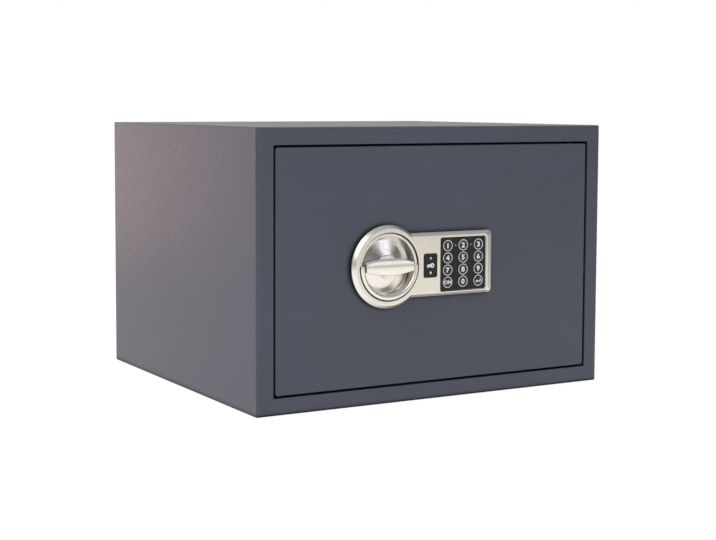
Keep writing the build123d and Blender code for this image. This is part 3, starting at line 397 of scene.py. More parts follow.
def moulded(name, hex_colour, sockets):
    # Small moulded part, as it leaves a polished tool: even colour, glossy, with a slight ripple from cooling.
    material, tree, place = open_material(name)
    colour = linear(hex_colour)
    tone = clouded(tree, place, 4, shade(colour, 0.85), shade(colour, 1.12))
    rippled = grained(tree, place, 2, 0.01, 0.4, Detail=1)[1]
    return close_material(material, {"Base Color": tone, "Normal": rippled, **sockets})


FINISHES = {}
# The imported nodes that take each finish.
DRESSED = {
    "paint": (
        "body_shell", "front_frame", "jamb_frame", "strike_jamb", "back_panel",
        "door_plate", "door_pan", "door_cover", "hinge_dog", "bolt_guide",
    ),
    # The hinge pins are made nearly black as painted shade in the gap round the door.
    "black": ("hinge_pin_bottom", "hinge_pin_top"),
    "zinc": (
        "hinge_block_bottom", "hinge_block_top", "cover_screws", "lock_plate_studs", "knob_carrier",
        "slide_studs", "solenoid_frame", "drive_cam", "spindle", "bolt_bar",
        "lock_tab", "bolt_lower", "bolt_upper", "plunger", "key_cam",
    ),
    "satin": ("lock_plate", "knob_dial", "knob_grip", "key_barrel"),
    "brass": ("spindle_bush", "key_plug", "board_standoffs"),
    "panel": ("keypad_panel", "key_cover"),
    "case": ("battery_holder", "battery_lid", "lid_rails", "reset_switch"),
    "rubber": tuple(KEY_FACES),
    "felt": ("floor_mat",),
    "sponge": ("door_stop",),
    "board": ("circuit_board", "keypad_board"),
    "copper": ("solenoid_coil",),
    "cells": ("battery_cells",),
    "lens": ("status_lights",),
    "red": ("reset_button",),
}


def make_finishes():
    """Makes every finish once, from the colours in the settings."""
    settings = bpy.context.scene.safe_finishes
    cells_low, cells_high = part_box("battery_cells")
    FINISHES.update(
        paint=powder_coat(settings),
        satin=satin_nickel(settings),
        spun=spun_nickel(settings, knob_middle),
        zinc=zinc_steel(),
        black=blackened_steel(),
        brass=turned_brass(),
        panel=black_abs("black_abs_fine_grain", settings, 1.0, 0.02),
        case=black_abs("black_abs_coarse_grain", settings, 1.2, 0.05),
        rubber=key_rubber(settings),
        ink=screen_ink(settings),
        felt=needle_felt(),
        sponge=sponge_rubber(),
        board=circuit_laminate(),
        copper=copper_wire(),
        cells=cell_sleeve(cells_low.x, cells_high.x),
        lens=moulded("diffused_lens", "#76777e", {"Roughness": 0.25, "Subsurface Weight": 0.2}),
        red=moulded("red_abs", "#b3221c", {"Roughness": 0.3}),
    )


def dress(finish, names):
    """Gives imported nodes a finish."""
    for name in names:
        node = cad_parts[name]
        if not node.material_slots:
            node.data.materials.append(finish)
        for slot in node.material_slots:
            slot.material = finish


# ---------------------------------------------------------------- outlines, as points across and up
def arc(across, up, radius, first, last, steps):
    """Points along an arc, from one angle to another, in degrees."""
    angles = [math.radians(first + (last - first) * i / steps) for i in range(steps + 1)]
    return [(across + radius * math.cos(a), up + radius * math.sin(a)) for a in angles]


def circle(radius, steps=48, across=0, up=0):
    return arc(across, up, radius, 0, 360 - 360 / steps, steps - 1)


def rounded_box(width, height, radius, steps=6):
    """A rectangle with round corners, about its centre."""
    points = []
    for i, (side, lift) in enumerate(((1, -1), (1, 1), (-1, 1), (-1, -1))):
        points += arc(side * (width / 2 - radius), lift * (height / 2 - radius), radius, i * 90 - 90, i * 90, steps)
    return points


def half_ring_outline(outer, inner, inset, steps=48, end_steps=12):
    """The lower half of a ring with round ends, drawn in by an inset."""
    middle_radius, half_width = (outer + inner) / 2, (outer - inner) / 2
    points = arc(0, 0, middle_radius + half_width - inset, 180, 360, steps)
    points += arc(middle_radius, 0, half_width - inset, 0, 180, end_steps)[1:-1]
    points += arc(0, 0, middle_radius - half_width + inset, 360, 180, steps)
    points += arc(-middle_radius, 0, half_width - inset, 0, 180, end_steps)[1:-1]
    return points


def plate_outline(radius, half_height, reach, corner, neck, steps=96, corner_steps=8):
    """A disc with a bar to its right, with round far corners and a hollow fillet at the neck."""
    neck_x = math.sqrt((radius + neck) ** 2 - (half_height + neck) ** 2)
    lean = math.degrees(math.atan2(half_height + neck, neck_x))
    points = arc(reach - corner, corner - half_height, corner, -90, 0, corner_steps)
    points += arc(reach - corner, half_height - corner, corner, 0, 90, corner_steps)
    points += arc(neck_x, half_height + neck, neck, -90, lean - 180, corner_steps)
    points += arc(0, 0, radius, lean, 360 - lean, steps)[1:-1]
    points += arc(neck_x, -half_height - neck, neck, 180 - lean, 90, corner_steps)
    return points


def lens_outline(half_length, half_height, end_half_height, inset, steps=24):
    """A bar with bowed sides and blunt ends, drawn in by an inset."""
    bow = half_height - end_half_height
    radius = (half_length**2 + bow**2) / (2 * bow)
    sweep = math.degrees(math.asin(half_length / radius))
    top = arc(0, half_height - radius, radius, 90 - sweep, 90 + sweep, steps)
    bottom = arc(0, radius - half_height, radius, 270 - sweep, 270 + sweep, steps)
    corners = top + bottom
    points = []
    for i, point in enumerate(corners):
        before, after = Vector(corners[i - 1]), Vector(corners[(i + 1) % len(corners)])
        along = (after - before).normalized()
        points.append((point[0] - along.y * inset, point[1] + along.x * inset))
    return points


def soften(points, reach, steps=4):
    """A profile with each inner corner replaced by a short curve that starts and ends within reach of it."""
    most = 0.45  # the most of a side that one corner's curve may take
    points = [Vector(p) for p in points]
    softened = [points[0]]
    for before, corner, after in zip(points, points[1:], points[2:]):
        first = corner + (before - corner).normalized() * min(reach, (before - corner).length * most)
        last = corner + (after - corner).normalized() * min(reach, (after - corner).length * most)
        for i in range(steps + 1):
            t = i / steps
            softened.append(first * (1 - t) ** 2 + corner * 2 * t * (1 - t) + last * t**2)
    softened.append(points[-1])
    return softened


# ---------------------------------------------------------------- meshes
# Corners closer than the first are one, and edges shorter than the second are none.
CLOSE, SLIVER = MM / 500, MM / 1000


def loop_at(mesh, centre, outline, depth):
    """A closed loop of corners: an outline set round a centre, at one depth."""
    return [mesh.verts.new((centre.x + across, depth, centre.z + up)) for across, up in outline]


def join(mesh, first, second):
    """Joins two loops by a band of faces. A loop of one corner is a pole."""
    count = max(len(first), len(second))
    for i in range(count):
        j = (i + 1) % count
        corners = [first[i % len(first)], first[j % len(first)], second[j % len(second)], second[i % len(second)]]
        mesh.faces.new(dict.fromkeys(corners))


def skin(mesh, loops):
    """Joins each loop to the next. Returns the first and the last."""
    for first, second in zip(loops, loops[1:]):
        join(mesh, first, second)
    return loops[0], loops[-1]


def fill(mesh, *loops):
    """A flat face inside the first loop, with the other loops as its holes."""
    edges = []
    for loop in loops:
        for i in range(len(loop)):
            pair = (loop[i - 1], loop[i])
            edges.append(mesh.edges.get(pair) or mesh.edges.new(pair))
    bmesh.ops.triangle_fill(mesh, use_beauty=True, use_dissolve=False, edges=edges, normal=FORWARDS)


def drawn(mesh, centre, outline, profile):
    """A wall round a centre: the outline at each inset of a profile of (inset, depth) points. Returns its ends."""
    return skin(mesh, [loop_at(mesh, centre, outline(inset), depth) for inset, depth in profile])


def turned(mesh, centre, profile, steps):
    """Turns a profile of (radius, depth) points about the front-to-back axis through a centre."""
    return drawn(mesh, centre, lambda radius: circle(radius, steps) if radius > SLIVER else [(0, 0)], profile)


def tube(mesh, centre, outline, *depths):
    """A straight wall round a centre, from one depth to another. Returns its ends."""
    return skin(mesh, [loop_at(mesh, centre, outline, depth) for depth in depths])


def block(mesh, tubes):
    """Closes both ends of the first tube, with the other tubes as holes through it."""
    fill(mesh, *[first for first, last in tubes])
    fill(mesh, *[last for first, last in tubes])


def stamped(mesh, place, thickness, *outlines):
    """A flat printed mark of a given thickness: the first outline, with the others as its holes."""
    block(mesh, [tube(mesh, place, outline, place.y, place.y - thickness) for outline in outlines])


def linked(name, data):
    """A new object in the scene."""
    made = bpy.data.objects.new(name, data)
    bpy.context.scene.collection.objects.link(made)
    return made


def as_mesh(mesh, name):
    """A bmesh made into a mesh, with its doubles merged and its faces turned outwards."""
    bmesh.ops.remove_doubles(mesh, verts=mesh.verts, dist=CLOSE)
    bmesh.ops.dissolve_degenerate(mesh, edges=mesh.edges, dist=SLIVER)
    bmesh.ops.recalc_face_normals(mesh, faces=mesh.faces)
    data = bpy.data.meshes.new(name)
    mesh.to_mesh(data)
    mesh.free()
    return data


def placed(data, name, finish, body, replaces=(), crease=40):
    """Puts a mesh in the scene with its finish, its shading and the body that it rides on."""
    data.name = name
    data.materials.clear()
    data.materials.append(finish)
    data.shade_smooth()
    data.set_sharp_from_angle(angle=math.radians(crease))
    made = linked(name, data)
    even = made.modifiers.new("even_shading", "WEIGHTED_NORMAL")
    even.keep_sharp = True
    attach(made, body)
    if replaces:
        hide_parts(*replaces)


def piece(mesh, name, finish, body, replaces=(), crease=40):
    """Turns a bmesh into a finished piece that rides on a body."""
    placed(as_mesh(mesh, name), name, finish, body, replaces, crease)


def baked(made):
    """The evaluated mesh of an object, which is then removed."""
    graph = bpy.context.evaluated_depsgraph_get()
    data = bpy.data.meshes.new_from_object(made.evaluated_get(graph))
    source = made.data
    bpy.data.objects.remove(made)
    if isinstance(source, bpy.types.Mesh):
        bpy.data.meshes.remove(source)
    return data


# ---------------------------------------------------------------- geometry node trees
CIRCLE, SWEEP = "GeometryNodeCurvePrimitiveCircle", "GeometryNodeCurveToMesh"
PLACE, REPEAT = "GeometryNodeTransform", "GeometryNodeInstanceOnPoints"


def node_tree(name, **inputs):
    """A geometry node tree with its inputs, named with underscores for spaces. Returns it and their sockets."""
    tree = bpy.data.node_groups.new(name, "GeometryNodeTree")
    for label, kind in inputs.items():
        tree.interface.new_socket(label.replace("_", " "), in_out="INPUT", socket_type=f"NodeSocket{kind}")
    tree.interface.new_socket("Geometry", in_out="OUTPUT", socket_type="NodeSocketGeometry")
    return tree, add(tree, "NodeGroupInput")


def close_tree(tree, geometry, finish):
    """Ends a tree: everything is made real and takes the finish."""
    real = add(tree, "GeometryNodeRealizeInstances", {"Geometry": geometry})["Geometry"]
    painted = add(tree, "GeometryNodeSetMaterial", {"Geometry": real, "Material": finish})["Geometry"]
    add(tree, "NodeGroupOutput", {"Geometry": painted})
    return tree


def grown(tree, **values):
    """The mesh that a tree makes from these inputs, named with underscores for spaces."""
    holder = linked("holder", bpy.data.meshes.new("holder"))
    modifier = holder.modifiers.new("tree", "NODES")
    modifier.node_group = tree
    sockets = {i.name: i.identifier for i in tree.interface.items_tree if i.in_out == "INPUT"}
    for label, value in values.items():
        modifier[sockets[label.replace("_", " ")]] = value
    return baked(holder)


def ring_tree():
    """A flat printed ring that faces forwards: a circle swept by the section of its line."""
    tree, given = node_tree(
        "printed_ring", Centre="Vector", Outer_radius="Float", Line="Float", Thickness="Float", Finish="Material"
    )
    half = add(tree, MATH, {0: given["Line"], 1: 0.5}, operation="MULTIPLY")["Value"]
    radius = add(tree, MATH, {0: given["Outer radius"], 1: half}, operation="SUBTRACT")["Value"]
    path = add(tree, CIRCLE, {"Resolution": 48, "Radius": radius})["Curve"]
    line = {"Width": given["Line"], "Height": given["Thickness"]}
    section = add(tree, "GeometryNodeCurvePrimitiveQuadrilateral", line)["Curve"]
    swept = add(tree, SWEEP, {"Curve": path, "Profile Curve": section})["Mesh"]
    stood = add(tree, PLACE, {"Geometry": swept, "Translation": given["Centre"], "Rotation": UPRIGHT})["Geometry"]
    return close_tree(tree, stood, given["Finish"])


def grid_tree():
    """One object repeated at the corners of an upright grid."""
    tree, given = node_tree(
        "upright_grid",
        Part="Object",
        Centre="Vector",
        Width="Float",
        Height="Float",
        Columns="Int",
        Rows="Int",
        Finish="Material",
    )
    size = {"Size X": given["Width"], "Size Y": given["Height"]}
    counts = {"Vertices X": given["Columns"], "Vertices Y": given["Rows"]}
    grid = add(tree, "GeometryNodeMeshGrid", {**size, **counts})["Mesh"]
    stood = add(tree, PLACE, {"Geometry": grid, "Translation": given["Centre"], "Rotation": UPRIGHT})["Geometry"]
    part = add(tree, "GeometryNodeObjectInfo", {"Object": given["Part"]})["Geometry"]
    repeated = add(tree, REPEAT, {"Points": stood, "Instance": part})["Instances"]
    return close_tree(tree, repeated, given["Finish"])


def winding_tree():
    """Turns of wire stacked upwards round an upright axis."""
    tree, given = node_tree(
        "wire_turns",
        Foot="Vector",
        Radius="Float",
        Wire_radius="Float",
        Pitch="Vector",
        Turns="Int",
        Finish="Material",
    )
    path = add(tree, CIRCLE, {"Resolution": 40, "Radius": given["Radius"]})["Curve"]
    wire = add(tree, CIRCLE, {"Resolution": 6, "Radius": given["Wire radius"]})["Curve"]
    turn = add(tree, SWEEP, {"Curve": path, "Profile Curve": wire})["Mesh"]
    rise = {"Count": given["Turns"], "Start Location": given["Foot"], "Offset": given["Pitch"]}
    line = add(tree, "GeometryNodeMeshLine", rise)["Mesh"]
    stack = add(tree, REPEAT, {"Points": line, "Instance": turn})["Instances"]
    return close_tree(tree, stack, given["Finish"])


# ---------------------------------------------------------------- steps
def soft_light(name, place, aim, size, power, hex_colour):
    """A square soft light, aimed at a point."""
    lamp = bpy.data.lights.new(name, "AREA")
    lamp.shape = "SQUARE"
    lamp.size = size
    lamp.energy = power
    lamp.color = linear(hex_colour)[:3]
    made = linked(name, lamp)
    made.location = place
    made.rotation_euler = (Vector(aim) - Vector(place)).to_track_quat("-Z", "Y").to_euler()
    made.visible_camera = False


class SAFE_OT_stage(bpy.types.Operator):
    """Makes the pale floor, the white surroundings, the soft lights and the camera"""

    bl_idname = "safe.stage"
    bl_label = "Stage"

    def execute(self, context):
        sizes = context.scene.safe_stage
        self.floor(sizes)
        self.surroundings(context)
        # Each light with its place, the point that it is aimed at, its size, its power and its colour.
        soft_light("overhead_light", (-1.3, -1.5, 1.6), (-0.1, -0.1, 0.15), 2.2, sizes.key_power, "#fffdf8")
        soft_light("side_light", (-0.6, 1.3, 0.2), (-0.22, 0.1, 0.12), 0.45, sizes.side_power, "#ffdcd8")
        soft_light("front_light", (1.15, -2.2, 0.95), (0, -0.2, 0.15), 1.0, sizes.front_power, "#f2f6ff")
        self.camera(context, sizes)
        context.scene.view_settings.view_transform = "Standard"
        return {"FINISHED"}

    def floor(self, sizes):
        # A plain pale floor: it keeps the shadow of the safe, and shows white to the camera, to metal and to glass.
        # To metal it is brightest before the safe and dims further off, with a warm patch before the lock.
        bright_spot, bright_reach, dim_reach = (-0.2, -0.6, 0), 1.1, 2.4
        warm_spot, warm_reach, plain_reach = (0.45, -0.85, 0), 0.2, 0.8
        camera_level, glow_share = 1.2, 0.72
        white, warm_white = linear("#ffffff"), linear("#fff8e9")
        material, tree, place = open_material("pale_floor")
        rays = add(tree, "ShaderNodeLightPath")
        camera_ray = rays["Is Camera Ray"]
        seen = add(tree, MATH, {0: camera_ray, 1: rays["Is Glossy Ray"]}, operation="MAXIMUM")["Value"]
        seen = add(tree, MATH, {0: seen, 1: rays["Is Transmission Ray"]}, operation="MAXIMUM")["Value"]
        reach = add(tree, VECTOR_MATH, {0: place, 1: bright_spot}, operation="DISTANCE")["Value"]
        lit = add(tree, RANGE, {"Value": reach, **ends(1.5, 0.4, bright_reach, dim_reach)})["Result"]
        level = add(tree, MIX, {"Factor": camera_ray, "A": lit, "B": camera_level}, data_type="FLOAT")["Result"]
        reach = add(tree, VECTOR_MATH, {0: place, 1: warm_spot}, operation="DISTANCE")["Value"]
        warm = add(tree, RANGE, {"Value": reach, **ends(1, 0, warm_reach, plain_reach)})["Result"]
        tint = add(tree, MIX, {SHARE: warm, FIRST: white, SECOND: warm_white}, data_type="RGBA")[MIXED]
        colour = add(tree, MIX, {SHARE: camera_ray, FIRST: tint, SECOND: white}, data_type="RGBA")[MIXED]
        glow = add(tree, "ShaderNodeEmission", {"Color": colour, "Strength": level})["Emission"]
        paint = add(tree, "ShaderNodeBsdfDiffuse", {"Color": linear("#f4f0ec")})["BSDF"]
        amount = add(tree, MATH, {0: seen, 1: glow_share}, operation="MULTIPLY")["Value"]
        both = add(tree, "ShaderNodeMixShader", {"Fac": amount, 1: paint, 2: glow})["Shader"]
        add(tree, "ShaderNodeOutputMaterial", {"Surface": both})
        half = sizes.floor_size / 2
        corners = [(-half, -half, 0), (half, -half, 0), (half, half, 0), (-half, half, 0)]
        data = bpy.data.meshes.new("floor")
        data.from_pydata(corners, [], [(0, 1, 2, 3)])
        data.materials.append(material)
        made = linked("floor", data)

    def surroundings(self, context):
        # White to the camera. Metal sees a room that is white behind the safe, and greyer overhead and in front.
        brightest_way, darkest, brightest = (0.1, 0.85, 0.45), -0.1, 0.85
        room_light = 0.55
        world = bpy.data.worlds.new("white_room")
        context.scene.world = world
        world.use_nodes = True
        tree = world.node_tree
        tree.nodes.clear()
        rays = add(tree, "ShaderNodeLightPath")
        way = add(tree, "ShaderNodeTexCoord")["Generated"]
        behind = add(tree, VECTOR_MATH, {0: way, 1: brightest_way}, operation="DOT_PRODUCT")["Value"]
        room = add(tree, RANGE, {"Value": behind, **ends(0.2, 1, darkest, brightest)})["Result"]
        levels = {"Factor": rays["Is Diffuse Ray"], "A": room, "B": room_light}
        plain = add(tree, MIX, levels, data_type="FLOAT")["Result"]
        clear_rays = {0: rays["Is Camera Ray"], 1: rays["Is Transmission Ray"]}
        clear = add(tree, MATH, clear_rays, operation="MAXIMUM")["Value"]
        strength = add(tree, MIX, {"Factor": clear, "A": plain, "B": 1}, data_type="FLOAT")["Result"]
        light = add(tree, "ShaderNodeBackground", {"Color": (1, 1, 1, 1), "Strength": strength})["Background"]
        add(tree, "ShaderNodeOutputWorld", {"Surface": light})

    def camera(self, context, sizes):
        # The camera stands to the left of the front, a little above the safe, nearly level.
        place = Vector((-0.8874, -1.5360, 0.3244))
        yaw, pitch, roll = math.radians(29.368), math.radians(4.538), math.radians(0.181)
        ahead = Vector((math.sin(yaw) * math.cos(pitch), math.cos(yaw) * math.cos(pitch), -math.sin(pitch)))
        right = Vector((math.cos(yaw), -math.sin(yaw), 0))
        up = right.cross(ahead)
        tilted_right = math.cos(roll) * right + math.sin(roll) * up
        tilted_up = math.cos(roll) * up - math.sin(roll) * right
        data = bpy.data.cameras.new("camera")
        data.lens = sizes.lens
        data.sensor_width = 36
        data.shift_x = 0.0370
        data.shift_y = -0.0704
        made = linked("camera", data)
        turn = Matrix((tilted_right, tilted_up, -ahead)).transposed().to_4x4()
        made.matrix_world = Matrix.Translation(place) @ turn
        context.scene.camera = made


class SAFE_OT_finishes(bpy.types.Operator):
    """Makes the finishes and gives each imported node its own"""

    bl_idname = "safe.finishes"
    bl_label = "Finishes"

    def execute(self, context):
        make_finishes()
        for finish, names in DRESSED.items():
            dress(FINISHES[finish], names)
        return {"FINISHED"}


class SAFE_OT_lock_plate(bpy.types.Operator):
    """Makes the nickel lock plate on its black base: sloped edges and pockets for the knob, key lock and keypad"""

    bl_idname = "safe.lock_plate"
    bl_label = "Lock plate"

    def execute(self, context):
        sizes = context.scene.safe_lock
        straight_wall = 0.8 * MM
        foot = plate_front + sizes.bevel_depth + straight_wall
        self.casting(sizes, foot)
        self.base(sizes, foot)
        return {"FINISHED"}

    def outline(self, sizes, inset):
        """The plate's outline where its slope has come in by an inset."""
        bar_half_height = 35 * MM
        share = inset / sizes.bevel
        return plate_outline(
            knob_middle.x - plate_low.x - inset,
            bar_half_height - inset,
            plate_high.x - knob_middle.x - share * sizes.end_bevel,
            sizes.corner - inset / 2,
            sizes.neck,
        )

    def knob_hole(self, sizes, inset=0):
        return circle(dial_radius + sizes.knob_gap + inset, steps=96)

    def window(self):
        """The opening behind the keypad's panel."""
        width, height, corner = 57 * MM, 55.9 * MM, 0.3 * MM
        return rounded_box(width, height, corner)

    def hole(self, mesh, sizes, centre, outline, floor):
        """The softened rim and the wall of a hole. Returns its loops at the face and at the floor."""
        rim_width, rounding = sizes.edge * 1.6, sizes.edge * 0.8
        wall = [(rim_width, plate_front), (0, plate_front), (0, floor)]
        return drawn(mesh, centre, outline, soften(wall, rounding))

    def casting(self, sizes, foot):
        flat = 1.2 * MM
        cover_depth, cover_gap, cover_corner = 2.3 * MM, 0.3 * MM, 2.3 * MM
        panel_depth, panel_gap, panel_corner = 1.5 * MM, 0.15 * MM, 2.15 * MM
        peg_hole, peg_lift = 1.5 * MM, Vector((0, 0, 10.3 * MM))
        pocket_floor, seat = cover_low.y + cover_depth, panel_low.y + panel_depth

        def pocket_outline(inset):
            return rounded_box(*grown_size(cover_low, cover_high, cover_gap + inset), cover_corner + inset)

        def recess_outline(inset):
            return rounded_box(*grown_size(panel_low, panel_high, panel_gap + inset), panel_corner + inset)

        mesh = bmesh.new()
        slope = [
            (0, foot),
            (0, plate_front + sizes.bevel_depth),
            (sizes.bevel, plate_front),
            (sizes.bevel + flat, plate_front),
        ]
        back, face = drawn(mesh, knob_middle, lambda inset: self.outline(sizes, inset), soften(slope, sizes.edge))
        knob_hole = self.hole(mesh, sizes, knob_middle, lambda inset: self.knob_hole(sizes, inset), foot)
        pocket = self.hole(mesh, sizes, key_cover_middle, pocket_outline, pocket_floor)
        bores = (
            (key_cover_middle, barrel_radius),
            (key_cover_middle + peg_lift, peg_hole),
            (key_cover_middle - peg_lift, peg_hole),
        )
        bored = [tube(mesh, centre, circle(radius), pocket_floor, foot) for centre, radius in bores]
        recess = self.hole(mesh, sizes, panel_middle, recess_outline, seat)
        window = tube(mesh, panel_middle, self.window(), seat, foot)
        fill(mesh, pocket[1], *[first for first, last in bored])
        fill(mesh, recess[1], window[0])
        fill(mesh, face, knob_hole[0], pocket[0], recess[0])
        fill(mesh, back, knob_hole[1], window[1], *[last for first, last in bored])
        piece(mesh, "lock_plate_casting", FINISHES["satin"], "door", ["lock_plate"], crease=32)

    def base(self, sizes, foot):
        """The black moulding that the casting stands on, a little smaller all round."""
        inset = 0.6 * MM
        walls = (
            (knob_middle, self.outline(sizes, inset)),
            (knob_middle, self.knob_hole(sizes)),
            (key_cover_middle, circle(barrel_radius)),
            (panel_middle, self.window()),
        )
        mesh = bmesh.new()
        block(mesh, [tube(mesh, centre, outline, foot, door_front) for centre, outline in walls])
        piece(mesh, "lock_plate_base", FINISHES["case"], "door", ["lock_plate"], crease=32)


def grown_size(low, high, gap):
    """A node's width and height with a gap all round."""
    return high.x - low.x + 2 * gap, high.z - low.z + 2 * gap


class SAFE_OT_knob(bpy.types.Operator):
    """Makes the knob: a turned bowl round a low hub, a raised half ring and a lens-shaped grip"""

    bl_idname = "safe.knob"
    bl_label = "Knob"

    def execute(self, context):
        self.bowl()
        self.half_ring()
        self.grip()
        return {"FINISHED"}

    def bowl(self):
        rim, skirt = plate_front + 2 * MM, door_front - 1 * MM
        back, hub = dial_high.y, grip_high.y
        bore_radius, bore_floor = 5 * MM, back - 5 * MM
        wall, rim_width, edge = 3.5 * MM, 2.5 * MM, 0.5 * MM
        dish_radius, dish_floor = 29 * MM, plate_front + 10 * MM
        hub_radius, hub_step, hub_inner = 12.5 * MM, 1.9 * MM, 11.3 * MM
        bore = [(0, bore_floor), (bore_radius, bore_floor), (bore_radius, back)]
        corners = [
            (dial_radius, skirt),
            (dial_radius, rim),
            (dial_radius - rim_width, rim),
            (dish_radius, dish_floor),
            (hub_radius, hub + hub_step),
            (hub_radius, hub),
            (hub_inner, hub),
        ]
        skirt_inside = [(dial_radius - wall, back), (dial_radius - wall, skirt)]
        mesh = bmesh.new()
        turned(mesh, knob_middle, bore + skirt_inside + soften(corners, edge) + [(0, hub)], steps=128)
        piece(mesh, "knob_bowl", FINISHES["spun"], "knob", ["knob_dial"], crease=35)

    def half_ring(self):
        width, round_over, steps = 5.5 * MM, 2.75 * MM, 8
        foot = door_front - 1.5 * MM
        top = dial_low.y + round_over
        section = [(0, foot), (0, top)]
        for i in range(1, steps + 1):
            lean = math.radians(i * 90 / steps)
            section.append((round_over * (1 - math.cos(lean)), top - round_over * math.sin(lean)))

        def outline(inset):
            return half_ring_outline(dial_radius, dial_radius - width, inset)

        mesh = bmesh.new()
        fill(mesh, drawn(mesh, knob_middle, outline, section)[0])
        piece(mesh, "knob_half_ring", FINISHES["satin"], "knob", ["knob_dial"])

    def grip(self):
        half_length = (grip_high.x - grip_low.x) / 2
        half_height = (grip_high.z - grip_low.z) / 2
        end_half_height, crown_radius, edge = 4.5 * MM, 19 * MM, 0.9 * MM
        edge_steps, crown_steps = 5, 10

        def crowned(outline, lift):
            """A loop that lies on the grip's crown, lifted off it by a distance."""
            corners = []
            for across, up in outline:
                depth = grip_low.y + crown_radius - math.sqrt(crown_radius**2 - up**2)
                corners.append(mesh.verts.new((knob_middle.x + across, depth + lift, knob_middle.z + up)))
            return corners

        mesh = bmesh.new()
        side = lens_outline(half_length, half_height, end_half_height, 0)
        loops = [loop_at(mesh, knob_middle, side, grip_high.y)]
        for i in range(edge_steps + 1):
            lean = math.radians(i * 90 / edge_steps)
            outline = lens_outline(half_length, half_height, end_half_height, edge * (1 - math.cos(lean)))
            loops.append(crowned(outline, edge * (1 - math.sin(lean))))
        for i in range(1, crown_steps + 1):
            share = 1 - i / crown_steps
            loops.append(crowned([(across, up * share) for across, up in outline], 0))
        fill(mesh, skin(mesh, loops)[0])
        piece(mesh, "knob_grip_bar", FINISHES["satin"], "knob", ["knob_grip"], crease=50)


class SAFE_OT_keypad(bpy.types.Operator):
    """Makes the twelve softened keys with their printed rings and figures"""

    bl_idname = "safe.keypad"
    bl_label = "Keypad"

    def execute(self, context):
        sizes = context.scene.safe_keypad
        rings = ring_tree()
        for name in KEY_FACES:
            low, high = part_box(name)
            centre = (low + high) / 2
            self.cap(name, centre, low, high)
            ring = grown(
                rings,
                Centre=(centre.x, low.y - sizes.ink_thickness / 2, centre.z),
                Outer_radius=sizes.ring_radius,
                Line=sizes.ring_line,
                Thickness=sizes.ink_thickness,
                Finish=FINISHES["ink"],
            )
            placed(ring, f"{name}_ring", FINISHES["ink"], name, crease=30)
            self.figure(name, Vector((centre.x, low.y, centre.z)), sizes)
        return {"FINISHED"}

    def cap(self, name, centre, low, high):
        radius, stem_radius = (high.x - low.x) / 2, 2.5 * MM
        foot = low.y + 3.4 * MM
        edge = 0.35 * MM
        stem = [(0, high.y), (stem_radius, high.y)]
        corners = [(stem_radius, foot), (radius, foot), (radius, low.y), (0, low.y)]
        mesh = bmesh.new()
        turned(mesh, centre, stem + soften(corners, edge), steps=48)
        piece(mesh, f"{name}_cap", FINISHES["rubber"], name, [name], crease=35)

    def figure(self, name, place, sizes):
        arrow_size, word_share = (7.0 * MM, 4.4 * MM), 0.72
        face = KEY_FACES[name]
        if face == "arrow":
            data = return_arrow(*arrow_size, place, sizes.ink_thickness)
        else:
            height = sizes.figure_height if len(face) == 1 else sizes.figure_height * word_share
            data = lettering(face, height, place, sizes.ink_thickness)
        placed(data, f"{name}_figure", FINISHES["ink"], name, crease=30)


def return_arrow(width, height, place, thickness):
    """The bent arrow of an enter key."""
    line, head, barb = 1.05 * MM, 2.6 * MM, 0.42 * MM
    left, right, low, high = -width / 2, width / 2, -height / 2, height / 2
    shaft = low + head / 2
    outline = [
        (left, shaft),
        (left + head, low - barb),
        (left + head, shaft - line / 2),
        (right, shaft - line / 2),
        (right, high),
        (right - line, high),
        (right - line, shaft + line / 2),
        (left + head, shaft + line / 2),
        (left + head, low + head + barb),
    ]
    mesh = bmesh.new()
    stamped(mesh, place, thickness, outline)
    return as_mesh(mesh, "mark")


def lettering(words, height, place, thickness):
    """Bold figures of a given height, centred on a place and facing forwards."""
    boldness, widening, curve_steps = 0.04, 1.15, 6
    text = bpy.data.curves.new("lettering", "FONT")
    text.body = words
    text.size = 1
    text.offset = boldness
    text.extrude = 0.5
    text.resolution_u = curve_steps
    data = baked(linked("lettering", text))
    bpy.data.curves.remove(text)
    corners = [v.co for v in data.vertices]
    low = Vector([min(c[i] for c in corners) for i in range(3)])
    high = Vector([max(c[i] for c in corners) for i in range(3)])
    size = height / (high.y - low.y)
    stand = Matrix(((1, 0, 0), (0, 0, -1), (0, 1, 0))).to_4x4()
    scale = Matrix.Diagonal((size * widening, size, thickness / (high.z - low.z), 1))
    centre = Matrix.Translation(-(low + high) / 2)
    data.transform(Matrix.Translation(place + FORWARDS * thickness / 2) @ stand @ scale @ centre)
    return data


class SAFE_OT_key_cover(bpy.types.Operator):
    """Prints a small key, a dot and a diamond on the cover of the keyhole"""

    bl_idname = "safe.key_cover"
    bl_label = "Key cover"

    def execute(self, context):
        thickness = context.scene.safe_keypad.ink_thickness
        place = Vector((key_cover_middle.x, cover_low.y, key_cover_middle.z))
        lift = 7.9 * MM
        bow = arc(1.9 * MM, 0, 2.7 * MM, -150, 150, 20)
        # The key's shaft and the two teeth of its bit, in millimetres.
        bit = [(-4.6, 1.1), (-4.6, -2.4), (-3.2, -2.4), (-3.2, -1.1)]
        bit += [(-2.4, -1.1), (-2.4, -2), (-1.3, -2), (-1.3, -1.1)]
        key = bow + [(across * MM, up * MM) for across, up in bit]
        eye = circle(0.95 * MM, 16, across=2.2 * MM)
        dot = circle(1.15 * MM, 20, up=lift)
        half_width, half_height = 1.4 * MM, 2.0 * MM
        diamond = [(0, half_height - lift), (-half_width, -lift), (0, -half_height - lift), (half_width, -lift)]
        mesh = bmesh.new()
        for outlines in ((key, eye), (dot,), (diamond,)):
            stamped(mesh, place, thickness, *outlines)
        piece(mesh, "key_cover_print", FINISHES["ink"], "key_cover", crease=30)
        return {"FINISHED"}


